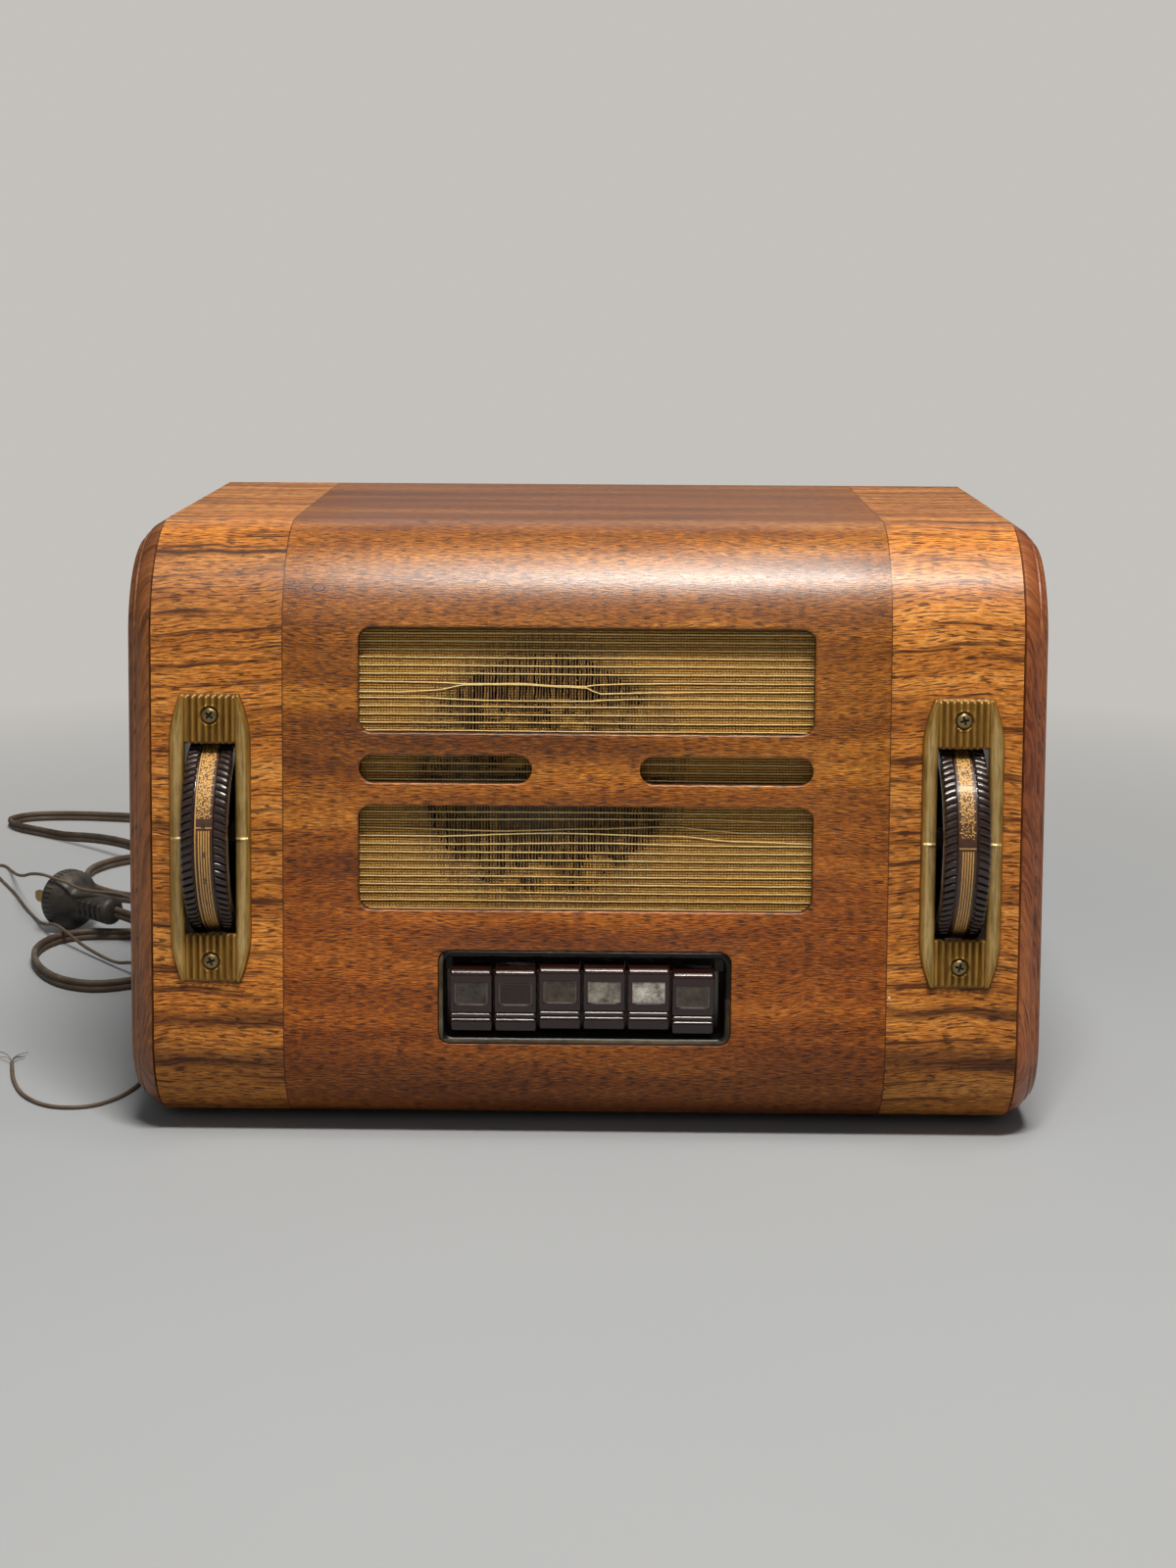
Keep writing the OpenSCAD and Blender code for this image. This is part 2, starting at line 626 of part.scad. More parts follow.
module gang_rotor() color(alu) room() translate([0, gang_y, gang_z]) union() {
    rod_x(shaft_r, gang_x - 4, drum_x + drum_w / 2 + 1);
    for (q = [0, 1], i = [0:rotor_plates - 1])
        translate([gang_x + sheet_t + q * (section_len + sheet_t) + 1 + (i + 0.5) * plate_pitch, 0, 0])
            difference() {
                rod_x(rotor_r, 0, rotor_plate_t);
                translate([-1, -rotor_r - 1, -rotor_r - 1]) cube([4, rotor_r - 1, 2 * rotor_r + 2]);
            }
    translate([drum_x, 0, 0]) drum();
}

function key_x(i) = keys_x + (i - (key_count + 1) / 2) * key_pitch;

// Two slotted plates guide the key stems
module key_bank() color(steel) room() difference() {
    union() {
        for (y = [bank_front_y, bank_back_y])
            translate([keys_x - bank_half, y, bank_z]) cube([2 * bank_half, sheet_t, bank_top_z - bank_z]);
        translate([keys_x - bank_half, bank_front_y, bank_z])
            cube([2 * bank_half, chassis_front - bank_front_y, sheet_t]);
        translate([keys_x - bank_half, chassis_front - sheet_t, board_top + 6])
            cube([2 * bank_half, sheet_t, bank_z - board_top - 6 + sheet_t]);
    }
    for (i = [1:key_count], y = [bank_front_y, bank_back_y])
        translate([key_x(i) - stem_w / 2 - stem_play, y - 1, key_z - stem_h / 2 - stem_play + lift(i)])
            cube([stem_w + 2 * stem_play, sheet_t + 2, stem_h + 2 * stem_play]);
}
function lift(i) = key_lift[i - 1];

module key(i) color(bakelite) room() translate([key_x(i), 0, key_z + lift(i)]) union() {
    edge_r = 2.4;
    difference() {
        union() {
            translate([-key_w / 2, key_face_y + edge_r, -key_h / 2]) cube([key_w, key_depth - edge_r, key_h]);
            translate([-key_w / 2, key_face_y, -key_h / 2 + 7]) cube([key_w, key_depth, key_h - 7 - edge_r]);
            translate([0, key_face_y + edge_r, key_h / 2 - edge_r]) rod_x(edge_r, -key_w / 2, key_w / 2);
        }
        // Recessed label window and the grooves below it
        translate([-7.3, key_face_y - 1, key_h / 2 - 5.5 - 9.7]) cube([14.6, 1.6, 9.7]);
        for (j = [0:2]) translate([-key_w / 2 - 1, key_face_y - 1 + (j > 1 ? 2.4 : 0), -key_h / 2 + 9.4 - 2.2 * j])
            cube([key_w + 2, 1.7, 0.9]);
    }
    translate([-stem_w / 2, key_back_y - 1, -stem_h / 2])
        cube([stem_w, bank_back_y - key_back_y + 5, stem_h]);
    translate([-stem_w / 2, collar_y - collar_t, -spring_r]) cube([stem_w, collar_t, 2 * spring_r]);
}

module key_springs() color(steel) room() for (i = [1:key_count])
    translate([key_x(i), 0, key_z + lift(i)]) difference() {
        rod_y(spring_r, collar_y + seat, bank_back_y - seat);
        rod_y(spring_r - spring_wire, collar_y - 1, bank_back_y + 1);
    }

// The speaker, turned about its own axis, with depth measured from the flange
module speaker_basket() color(steel) speaker_frame(flange_out) difference() {
    back_r = magnet_d / 2 - 4;
    rotate_extrude($fn = 96) polygon([
        [speaker_d / 2, 0], [speaker_d / 2, -flange_t], [speaker_d / 2 - 7, -flange_t],
        [back_r + 2, -cone_depth - 12], [back_r + 2, -cone_depth - 16], [shaft_r + 10, -cone_depth - 16],
        [shaft_r + 10, -cone_depth - 14.5], [back_r, -cone_depth - 14.5], [back_r, -cone_depth - 11.5],
        [speaker_d / 2 - 9, -flange_t], [speaker_d / 2 - 9, 0]
    ]);
    for (a = [0:90:270]) rotate(a) translate([back_r + 4, -14, -cone_depth - 8])
        cube([speaker_d / 2 - back_r - 16, 28, cone_depth - 2]);
    translate([0, 0, -5]) bolt_places() cylinder(r = bolt_r + 0.2, h = 10);
}

// Flat ring with one rolled groove in it
module speaker_surround() color(paper) speaker_frame(flange_out) {
    r0 = cone_d / 2 + seat;
    r1 = speaker_d / 2 - 9 - fit;
    sheet = 0.8;
    roll_r = 1.2;
    lip_angle = asin(sheet / (roll_r + sheet));
    middle = [(r0 + r1) / 2, 0];
    rotate_extrude($fn = 96) polygon(concat(
        [[r0, -sheet], [r0, 0]],
        arc(middle, roll_r, 180, 360, 8),
        [[r1, 0], [r1, -sheet]],
        arc(middle, roll_r + sheet, 360 - lip_angle, 180 + lip_angle, 8)
    ));
}

module speaker_cone() color(paper) speaker_frame(flange_out) {
    cap_z = -cone_depth + (cap_r - voice_r) * (cone_depth - 1) / (cone_d / 2 - voice_r);
    rotate_extrude($fn = 96) polygon([
        [cone_d / 2, -1.6], [cone_d / 2, -2.8], [voice_r, -cone_depth - 2], [voice_r, -cone_depth - 8],
        [voice_r - 1, -cone_depth - 8], [voice_r - 1, -cone_depth - 0.6], [cap_r - 1, cap_z - 1.5],
        [cap_r - 5, cap_z + 1.6], [0, cap_z + 3.2], [0, cap_z + 4], [cap_r - 5, cap_z + 2.4],
        [cap_r, cap_z], [cone_d / 2 - 1, -1.6]
    ]);
}
voice_r = 12;
cap_r = 15;

module speaker_magnet() color(black) speaker_frame(magnet_out) union() {
    translate([0, 0, -magnet_len - seat]) cylinder(d = magnet_d, h = magnet_len);
    translate([0, 0, -seat - eps]) cylinder(r = 9.5, h = 9);
}

module speaker_bolts() color(steel) speaker_frame(flange_out) bolt_places() union() {
    translate([0, 0, -6]) cylinder(r = bolt_r, h = baffle_t + 6 - 0.4);
    translate([0, 0, -flange_t - 2.4]) cylinder(r = 3.6, h = 2.4, $fn = 6);
}

// Tray with its open side down and a flange along each end for the bolts
module chassis() color(steel) room() difference() {
    inner_depth = chassis_back - chassis_front - 2 * sheet_t;
    translate([-chassis_half, chassis_front, board_top])
        cube([chassis_w, chassis_back - chassis_front, chassis_h]);
    translate([-chassis_half + sheet_t, chassis_front + sheet_t, board_top + sheet_t])
        cube([chassis_w - 2 * sheet_t, inner_depth, chassis_h - 2 * sheet_t]);
    translate([-chassis_half + chassis_flange, chassis_front + sheet_t, board_top - 1])
        cube([chassis_w - 2 * chassis_flange, inner_depth, sheet_t + 2]);
    for (sx = [-1, 1], y = chassis_bolt_y) translate([sx * chassis_bolt_x, y, board_top - 1])
        cylinder(r = bolt_r + 0.2, h = sheet_t + 2);
    translate([grommet_at[0], 0, grommet_at[1]]) rod_y(5, chassis_back - 10, chassis_back + 5);
    translate([aerial_hole_at[0], 0, aerial_hole_at[1]]) rod_y(2, chassis_back - 10, chassis_back + 5);
}

// Bolts that come up through the bottom board, each with its nut on the chassis flange
module chassis_bolts() color(steel) room() for (sx = [-1, 1], y = chassis_bolt_y)
    translate([sx * chassis_bolt_x, y, 0]) union() {
        head_h = foot_h * 0.8;
        translate([0, 0, foot_h - head_h]) cylinder(r = 4, h = head_h);
        translate([0, 0, foot_h - eps]) cylinder(r = bolt_r, h = wrap_wall + 8);
        translate([0, 0, board_top + sheet_t + eps]) cylinder(r = 3.5, h = 3, $fn = 6);
    }

// Wax paper capacitors and resistors on their lugs
module under_chassis_parts() color("#b08d4c") room() {
    roof = chassis_top - sheet_t - seat;
    front = chassis_front + 26;
    for (i = [0:4]) translate([-90 + 44 * i, 0, 0]) union() {
        translate([0, 0, roof - 9]) rod_y(7, front, front + 34);
        for (y = [2, 28]) translate([-1, front + y, roof - 3]) cube([2, 4, 3]);
    }
    for (i = [0:5]) translate([-100 + 40 * i, 0, 0]) union() {
        translate([0, 0, roof - 6]) rod_y(3, front + 52, front + 72);
        for (y = [54, 68]) translate([-1, front + y, roof - 4]) cube([2, 2, 4]);
    }
}

module output_transformer() color(black) room()
    translate([output_transformer_at[0], output_transformer_at[1], chassis_top]) union() {
        translate([-24, -18, 0]) cube([48, 36, sheet_t]);
        translate([-18, -8, 0]) cube([36, 16, 34]);
        translate([-12, -14, 7]) cube([24, 28, 20]);
    }

module mains_transformer() color(black) room()
    translate([mains_at[0], mains_at[1], chassis_top]) union() {
        translate([-mains_w / 2, -14, 6]) cube([mains_w, 28, mains_h - 6]);
        for (s = [-1, 1]) {
            translate([-mains_w / 2 + 6, s > 0 ? 14 - eps : -30, 12]) cube([mains_w - 12, 16 + eps, mains_h - 18]);
            translate([s > 0 ? mains_w / 2 - 8 : -mains_w / 2, -18, 0]) cube([8, 36, 6 + eps]);
        }
    }

module socket_place(p) room() translate([p[0], p[1], chassis_top]) children();

module tube_sockets() color("#3a2418") for (p = sockets_at) socket_place(p) difference() {
    union() {
        cylinder(r = tube_base_d / 2 + 0.5, h = socket_h - seat);
        translate([-socket_bar / 2, -3, 0]) cube([socket_bar, 6, 1]);
    }
    translate([0, 0, -1]) cylinder(r = 4.2, h = 10);
}

// Octal base with its locating key, and a steel shell with a domed top
module tube_base() union() {
    translate([0, 0, socket_h]) cylinder(d = tube_base_d, h = tube_base_h);
    translate([0, 0, 0.5]) cylinder(r = 4, h = socket_h);
}

module metal_tube(p, cap) color(black) socket_place(p) union() {
    tube_base();
    top = socket_h + tube_base_h + tube_h;
    translate([0, 0, socket_h + tube_base_h]) cylinder(d = tube_d, h = tube_h - 8);
    translate([0, 0, top - 8]) cylinder(d1 = tube_d, d2 = tube_d - 10, h = 6);
    translate([0, 0, top - 2 - eps]) cylinder(d = tube_d - 14, h = 2);
    if (cap) translate([0, 0, top - eps]) cylinder(d = 9, h = 8);
}

module rectifier_base() color("#3a2418") socket_place(rectifier_at) tube_base();

module rectifier_glass() color("#d8dcd2") socket_place(rectifier_at)
    translate([0, 0, socket_h + tube_base_h]) union() {
        cylinder(r = 14.5, h = 48);
        translate([0, 0, 48]) intersection() {
            sphere(14.5);
            cylinder(r = 15, h = 15);
        }
    }

module if_cans() color(alu) for (p = can_at) socket_place(p) union() {
    linear_extrude(can_h) rounded(can_w, can_w, 4);
    for (s = [-1, 1]) translate([s * 8, 0, can_h - eps]) cylinder(r = 2.4, h = 2.5);
}

module filter_capacitor() color(alu) socket_place(filter_at) union() {
    cylinder(r = filter_r + 2, h = 3);
    cylinder(r = filter_r, h = 72);
    cylinder(r = filter_r - 2, h = 74);
}

// Aerial and earth strip on the back of the chassis
module terminal_strip() color("#3a2418") room() translate([40, chassis_back, board_top + 26]) union() {
    translate([-22, 0, -7]) cube([44, 3, 14]);
    for (x = [-12, 12]) translate([x, 0, 0]) rod_y(3.2, 3 - eps, 6);
}

// Tapered rubber sleeve round the mains cord, and the small bush of the aerial wire
module cord_grommet() color(black) room() {
    translate([grommet_at[0], chassis_back, grommet_at[1]]) rotate([-90, 0, 0]) union() {
        cylinder(r = 7.5, h = 2.5);
        translate([0, 0, -sheet_t - 2]) cylinder(r = 4.9, h = sheet_t + 2 + eps);
        translate([0, 0, 2.5 - eps]) cylinder(r1 = 6, r2 = 4.2, h = grommet_len - 2.5);
    }
    translate([aerial_hole_at[0], chassis_back, aerial_hole_at[1]]) rotate([-90, 0, 0]) union() {
        cylinder(r = 3, h = aerial_boss_len);
        translate([0, 0, -sheet_t - 1]) cylinder(r = 1.9, h = sheet_t + 1 + eps);
    }
}

// Points between the route's own points, on a smooth curve through them
function between(a, b, c, d, t) = 0.5 * (2 * b + (c - a) * t + (2 * a - 5 * b + 4 * c - d) * t * t
    + (3 * b - a - 3 * c + d) * t * t * t);
function smooth(p, n) = let (last = len(p) - 1) concat(
    [for (i = [0:last - 1]) for (k = [0:n - 1])
        between(p[max(i - 1, 0)], p[i], p[i + 1], p[min(i + 2, last)], k / n)],
    [p[last]]);
function unit(v) = v / norm(v);

// Tube along a route, w across and h upright, that never dips below the floor
module sweep(route, n, w, h, sides = 8) {
    pts = [for (p = smooth(route, n)) [p[0], p[1], max(p[2], h / 2)]];
    last = len(pts) - 1;
    rings = [for (i = [0:last])
        let (along = unit(pts[min(i + 1, last)] - pts[max(i - 1, 0)]),
             side = unit(cross(along, [0, 0, 1])), up = cross(side, along))
        for (j = [0:sides - 1]) pts[i] + side * cos(360 * j / sides) * w / 2 + up * sin(360 * j / sides) * h / 2];
    polyhedron(rings, concat(
        [[for (j = [0:sides - 1]) j]],
        [for (i = [0:last - 1]) for (j = [0:sides - 1]) let (k = (j + 1) % sides)
            [i * sides + k, i * sides + j, (i + 1) * sides + j, (i + 1) * sides + k]],
        [[for (j = [0:sides - 1]) (last + 1) * sides - 1 - j]]), convexity = 10);
}

module mains_cord() color("#4a3b30") {
    sweep(mains_out, 1, cord_t, cord_w);
    sweep(mains_away, 1, cord_t, cord_w);
}

module mains_coil() color("#4a3b30") translate([coil_at[0], coil_at[1], 0]) rotate_extrude()
    translate([coil_in_r, 0]) square([coil_out_r - coil_in_r, coil_h]);

module antenna_lead() color("#6b5a45") sweep(aerial_route, 2, aerial_d, aerial_d);

module plug_frame() translate(plug_at) rotate([0, 0, plug_turn]) rotate([0, 90, 0]) children();

module mains_plug() color(black) plug_frame() rotate_extrude() polygon([
    [0, 8], [plug_r - 1.5, 8], [plug_r, 6.5], [plug_r, -1], [plug_r - 3, -6], [plug_stem_r + 1, -9],
    [plug_stem_r, -12], [plug_stem_r, -34.5], [plug_stem_r - 1.5, -36.5], [0, -36.5]
]);

module plug_prongs() color("#b08d4c") plug_frame() for (s = [-1, 1])
    translate([-3.2, s * 6.35 - 0.75, 8]) cube([6.4, 1.5, 17]);

cabinet_wrap();
side_board(-1);  // side_left
side_board(1);  // side_right
bottom_board();
glue_blocks();
feet();
baffle_board();
grille_cloth();
plate(-1);  // plate_left
plate(1);  // plate_right
plate_screws();
key_bezel();
thumbwheel(-1);  // volume_wheel
wheel_band(-1);  // volume_band
volume_shaft();
volume_control();
shaft_brackets();
thumbwheel(1);  // tuning_wheel
wheel_band(1);  // tuning_band
tuning_shaft();
dial_cord();
gang_frame();
gang_stator();
gang_rotor();
key_bank();
key_springs();
key(1);  // key_1
key(2);  // key_2
key(3);  // key_3
key(4);  // key_4
key(5);  // key_5
key(6);  // key_6
speaker_basket();
speaker_surround();
speaker_cone();
speaker_magnet();
speaker_bolts();
chassis();
chassis_bolts();
under_chassis_parts();
output_transformer();
mains_transformer();
tube_sockets();
metal_tube(mixer_at, true);  // tube_mixer
metal_tube(if_tube_at, true);  // tube_if
metal_tube(detector_at, true);  // tube_detector
metal_tube(output_at, false);  // tube_output
rectifier_base();
rectifier_glass();
if_cans();
filter_capacitor();
terminal_strip();
cord_grommet();
mains_cord();
mains_coil();
mains_plug();
plug_prongs();
antenna_lead();
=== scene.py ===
# %% [markdown]
# # A table radio with two thumbwheels, dressed in Blender
# Every board, wheel, key, tube and bolt of the radio is already drawn at its real size and packed. This
# file puts the looks on that frame: the veneer, the mouldings, the ribs that fingers turn, the woven
# grille, the dusty works and the two leads. Lengths are in millimetres, and metres only at the end.

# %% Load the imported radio
import json
import random
from functools import cached_property
from math import cos, exp, hypot, pi, radians, sin, sqrt

import bmesh
import bpy
from mathutils import Matrix, Vector

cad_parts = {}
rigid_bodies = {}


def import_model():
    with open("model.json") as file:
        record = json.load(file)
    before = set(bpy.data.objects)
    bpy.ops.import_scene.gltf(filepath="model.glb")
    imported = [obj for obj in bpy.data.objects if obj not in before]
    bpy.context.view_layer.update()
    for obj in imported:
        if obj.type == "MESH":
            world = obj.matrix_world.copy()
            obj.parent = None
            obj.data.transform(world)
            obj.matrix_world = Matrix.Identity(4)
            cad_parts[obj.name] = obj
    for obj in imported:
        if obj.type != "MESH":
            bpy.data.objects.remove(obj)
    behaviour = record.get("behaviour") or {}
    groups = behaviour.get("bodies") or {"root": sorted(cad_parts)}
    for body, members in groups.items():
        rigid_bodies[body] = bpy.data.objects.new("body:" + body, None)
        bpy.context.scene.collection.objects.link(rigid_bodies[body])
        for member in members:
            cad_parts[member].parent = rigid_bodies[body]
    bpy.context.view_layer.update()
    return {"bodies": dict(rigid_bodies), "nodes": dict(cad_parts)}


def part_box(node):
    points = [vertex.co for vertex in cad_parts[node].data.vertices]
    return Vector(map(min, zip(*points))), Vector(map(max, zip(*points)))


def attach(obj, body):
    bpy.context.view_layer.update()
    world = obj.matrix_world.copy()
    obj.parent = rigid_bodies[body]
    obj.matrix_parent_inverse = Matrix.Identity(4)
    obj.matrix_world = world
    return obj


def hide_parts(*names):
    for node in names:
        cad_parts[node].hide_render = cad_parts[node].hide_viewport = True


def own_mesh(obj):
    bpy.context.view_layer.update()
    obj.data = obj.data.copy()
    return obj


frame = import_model()
print("nodes:", len(frame["nodes"]), "bodies:", len(frame["bodies"]))

# %% [markdown]
# ## The sizes everything else follows
# The front is one sheet of plywood, bent at the top and the bottom. Its outline could be copied point by
# point, but two arcs and three straights say the same with few numbers, and most of those are read from
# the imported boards. The face leans back: a place on it is x along it, s up it and out in front of it.

# %% Driving sizes, in millimetres
MM = 0.001
face_lean = radians(7.6)
top_radius = 52.0
bottom_radius = 36.0
wrap_wall = 6.0
lip_depth = 56.0
SIN = sin(face_lean)
COS = cos(face_lean)


def node_box(node):
    low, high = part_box(node)
    return low / MM, high / MM


wrap_low, wrap_high = node_box("cabinet_wrap")
shell_half = wrap_high.x
foot_h = wrap_low.z
cabinet_h = wrap_high.z - foot_h
bottom_bend = Vector((bottom_radius / COS + bottom_radius * SIN / COS, bottom_radius))
top_bend = Vector((top_radius / COS + (cabinet_h - top_radius) * SIN / COS, cabinet_h - top_radius))
front_y = wrap_low.y - (bottom_bend.x - bottom_radius)
cabinet_d = wrap_high.y - front_y
wheel_low, wheel_high = node_box("tuning_wheel")
wheel_x = (wheel_low.x + wheel_high.x) / 2
wheel_centre = (wheel_low + wheel_high) / 2
wheel_r = 43.5
band_half = 3.9
wheel_s = (wheel_centre.y - front_y) * SIN + (wheel_centre.z - foot_h) * COS
facing, rising = Vector((0, -COS, SIN)), Vector((0, SIN, COS))
print(f"face foot at y {front_y:.2f}, {cabinet_h:.1f} high, {cabinet_d:.1f} deep, wheels at s {wheel_s:.1f}")


def metres(x, y, z):
    return Vector((x, y, z)) * MM


def on_face(x, s, out=0.0):
    """A place on the leaning front."""
    return metres(x, front_y + s * SIN - out * COS, foot_h + s * COS + out * SIN)


def hub(side):
    """The middle of a thumbwheel: side is -1 for the left one and 1 for the right one."""
    return Vector((side * wheel_x, wheel_centre.y, wheel_centre.z))


def spoke(angle):
    """The way out from a hub, turned up by angle from the wheel's foremost line."""
    return facing * cos(angle) + rising * sin(angle)


# %% [markdown]
# ## Small tools for meshes
# Nearly every piece is a row of outlines joined by faces: a turning, a moulding along an edge, a wire
# along its way. One function joins the rows, another gives the mesh its finish, its shading and its body.
# Blender's primitives are quicker, but give a plain cylinder where the real thing has a rim and a bead.

# %% Rows into faces, and a finished piece
def add_rows(bm, rows, ring=True, finish=0):
    """Joins rows of points, each row closed into a ring or open."""
    verts = [[bm.verts.new(point) for point in row] for row in rows]
    count = len(rows[0])
    for lower, upper in zip(verts, verts[1:]):
        for i in range(count if ring else count - 1):
            k = (i + 1) % count
            face = bm.faces.new((lower[i], lower[k], upper[k], upper[i]))
            face.material_index = finish
    return verts


def add_tube(bm, rows, finish=0):
    """Rings joined into a closed body, with a flat end on the first and the last."""
    verts = add_rows(bm, rows, True, finish)
    for ring in (verts[0], verts[-1]):
        face = bm.faces.new(ring)
        face.material_index = finish
    return verts


def add_turning(bm, profile, place, segments=48, finish=0):
    """A lathe turning: profile holds (along, radius) and place(along, across, up) gives the point."""
    rows = []
    for along, radius in profile:
        angles = [2 * pi * i / segments for i in range(segments)]
        rows.append([place(along, radius * cos(a), radius * sin(a)) for a in angles])
    return add_tube(bm, rows, finish)


def add_block(bm, low, high, soft=0.4, finish=0):
    """A box with its edges rounded by soft."""
    size = [b - a for a, b in zip(low, high)]
    middle = [(a + b) / 2 for a, b in zip(low, high)]
    made = bmesh.ops.create_cube(bm, size=1.0)["verts"]
    for vert in made:
        vert.co = metres(*[m + c * d for m, c, d in zip(middle, vert.co, size)])
    edges = list({edge for vert in made for edge in vert.link_edges})
    for face in {face for vert in made for face in vert.link_faces}:
        face.material_index = finish
    bmesh.ops.bevel(bm, geom=edges, offset=soft * MM, segments=2, profile=0.6, affect="EDGES",
                    material=finish)


def loose_object(name, bm):
    mesh = bpy.data.meshes.new(name)
    bm.to_mesh(mesh)
    bm.free()
    return bpy.data.objects.new(name, mesh)


def close_piece(name, bm, finishes, slot, nodes="", body="cabinet", sharp=32, outward=True):
    """Turns a bmesh into a piece with its finishes, which rides on its body and stands for its CAD nodes."""
    bmesh.ops.remove_doubles(bm, verts=bm.verts[:], dist=0.00001)
    if outward:
        bmesh.ops.recalc_face_normals(bm, faces=bm.faces[:])
    piece = loose_object(name, bm)
    bpy.context.collection.objects.link(piece)
    mesh = piece.data
    for finish in finishes:
        mesh.materials.append(finish)
    mesh.shade_smooth()
    mesh.set_sharp_from_angle(angle=radians(sharp))
    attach(piece, body)
    if nodes:
        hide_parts(*nodes.split())
    print(f"{name}: {len(mesh.vertices)} points, {len(mesh.polygons)} faces, on {body}")
    return piece


def along_y(centre):
    return lambda along, across, up: metres(centre[0] + across, centre[1] + along, centre[2] + up)


def along_z(centre):
    return lambda along, across, up: metres(centre[0] + across, centre[1] + up, centre[2] + along)


def smooth_route(points, steps):
    """Points on a smooth curve through the chosen ones, steps to each stretch."""
    known = [Vector(p) for p in points]
    route = []
    for i in range(len(known) - 1):
        a, b, c, d = known[max(i - 1, 0)], known[i], known[i + 1], known[min(i + 2, len(known) - 1)]
        for k in range(steps):
            t = k / steps
            bend = 2 * b + (c - a) * t + (2 * a - 5 * b + 4 * c - d) * t * t
            route.append(0.5 * (bend + (3 * b - a - 3 * c + d) * t ** 3))
    route.append(known[-1])
    return route


def route_length(route):
    return sum((b - a).length for a, b in zip(route, route[1:]))


def sweep_section(route, section):
    """Rings of a section, given as (across, up), along a route that lies mostly flat."""
    rings = []
    for i, point in enumerate(route):
        heading = (route[min(i + 1, len(route) - 1)] - route[max(i - 1, 0)]).normalized()
        side = heading.cross(Vector((0, 0, 1))).normalized()
        up = side.cross(heading)
        rings.append([metres(*(point + side * a + up * b)) for a, b in section])
    return rings


# %% [markdown]
# ## Trees that lay copies out
# The ribs of the wheels and the plug and the sheets of the transformers are one small form many times
# over; threads and springs are curves with a round section. A loop could type them out, but a Geometry
# Nodes tree keeps count and spacing as inputs that can be changed by hand. The result is a plain mesh.

# %% A wiring helper for node trees
class Value:
    """A value in a node tree that can be reckoned with as if it were a plain number or vector."""

    def __init__(self, wires, socket):
        self.wires = wires
        self.socket = socket

    def reckon(self, operation, first, second):
        kind = self.wires.vector if self.socket.type == "VECTOR" else self.wires.math
        return kind(operation, first, second)

    def __add__(self, other):
        return self.reckon("ADD", self, other)

    def __sub__(self, other):
        return self.reckon("SUBTRACT", self, other)

    def __rsub__(self, other):
        return self.reckon("SUBTRACT", other, self)

    def __mul__(self, other):
        return self.reckon("MULTIPLY", self, other)

    def __truediv__(self, other):
        return self.reckon("DIVIDE", self, other)

    def __rtruediv__(self, other):
        return self.reckon("DIVIDE", other, self)

    def __lt__(self, limit):
        return self.wires.math("LESS_THAN", self, limit)

    def __gt__(self, limit):
        return self.wires.math("GREATER_THAN", self, limit)

    def __abs__(self):
        return self.wires.math("ABSOLUTE", self)


class Outputs:
    """The outputs of a node, by name or by number."""

    def __init__(self, wires, node):
        self.wires = wires
        self.node = node

    def __getitem__(self, key):
        return Value(self.wires, self.node.outputs[key])


class Wiring:
    """Adds nodes to one tree. An input is plain or a Value from elsewhere in the tree."""

    def __init__(self, tree):
        self.tree = tree

    def join(self, value, socket):
        if isinstance(value, Value):
            self.tree.links.new(value.socket, socket)
        else:
            socket.default_value = value

    def add(self, kind, inputs=None, **settings):
        node = self.tree.nodes.new(kind)
        for name, value in settings.items():
            setattr(node, name, value)
        for name, value in (inputs or {}).items():
            self.join(value, node.inputs[name])
        return node

    def of(self, kind, inputs=None, **settings):
        return Outputs(self, self.add(kind, inputs, **settings))

    def math(self, operation, first, second=0.0):
        return self.of("ShaderNodeMath", {0: first, 1: second}, operation=operation)[0]

    def vector(self, operation, first, second):
        return self.of("ShaderNodeVectorMath", {0: first, 1: second}, operation=operation)[0]

    def most(self, value, *others):
        for other in others:
            value = self.math("MAXIMUM", value, other)
        return value

    def fract(self, value):
        return self.math("FRACT", value)

    def length(self, vector):
        return self.of("ShaderNodeVectorMath", {0: vector}, operation="LENGTH")["Value"]

    def combine(self, x=0.0, y=0.0, z=0.0):
        return self.of("ShaderNodeCombineXYZ", {0: x, 1: y, 2: z})[0]

    def split(self, vector):
        return self.of("ShaderNodeSeparateXYZ", {0: vector})

    def noise(self, vector, scale, detail=2.0, roughness=0.5):
        given = {"Vector": vector, "Scale": scale, "Detail": detail, "Roughness": roughness}
        return self.of("ShaderNodeTexNoise", given)[0]

    def between(self, value, low, high, start=0.0, end=1.0):
        """Takes value from low..high to start..end, and stops there."""
        return self.of("ShaderNodeMapRange", {0: value, 1: low, 2: high, 3: start, 4: end})[0]

    def mix(self, factor, first, second, kind="MIX"):
        given = {0: factor, 6: first, 7: second}
        return self.of("ShaderNodeMix", given, data_type="RGBA", blend_type=kind)[2]

    def ramp(self, value, *stops):
        """Colours by value: each stop is (position, colour)."""
        node = self.add("ShaderNodeValToRGB", {0: value})
        elements = node.color_ramp.elements
        while len(elements) < len(stops):
            elements.new(0.5)
        for element, (position, colour) in zip(elements, stops):
            element.position = position
            element.color = colour
        return Value(self, node.outputs[0])

    def bump(self, height, strength, distance):
        given = {"Height": height, "Strength": strength, "Distance": distance}
        return self.of("ShaderNodeBump", given)[0]


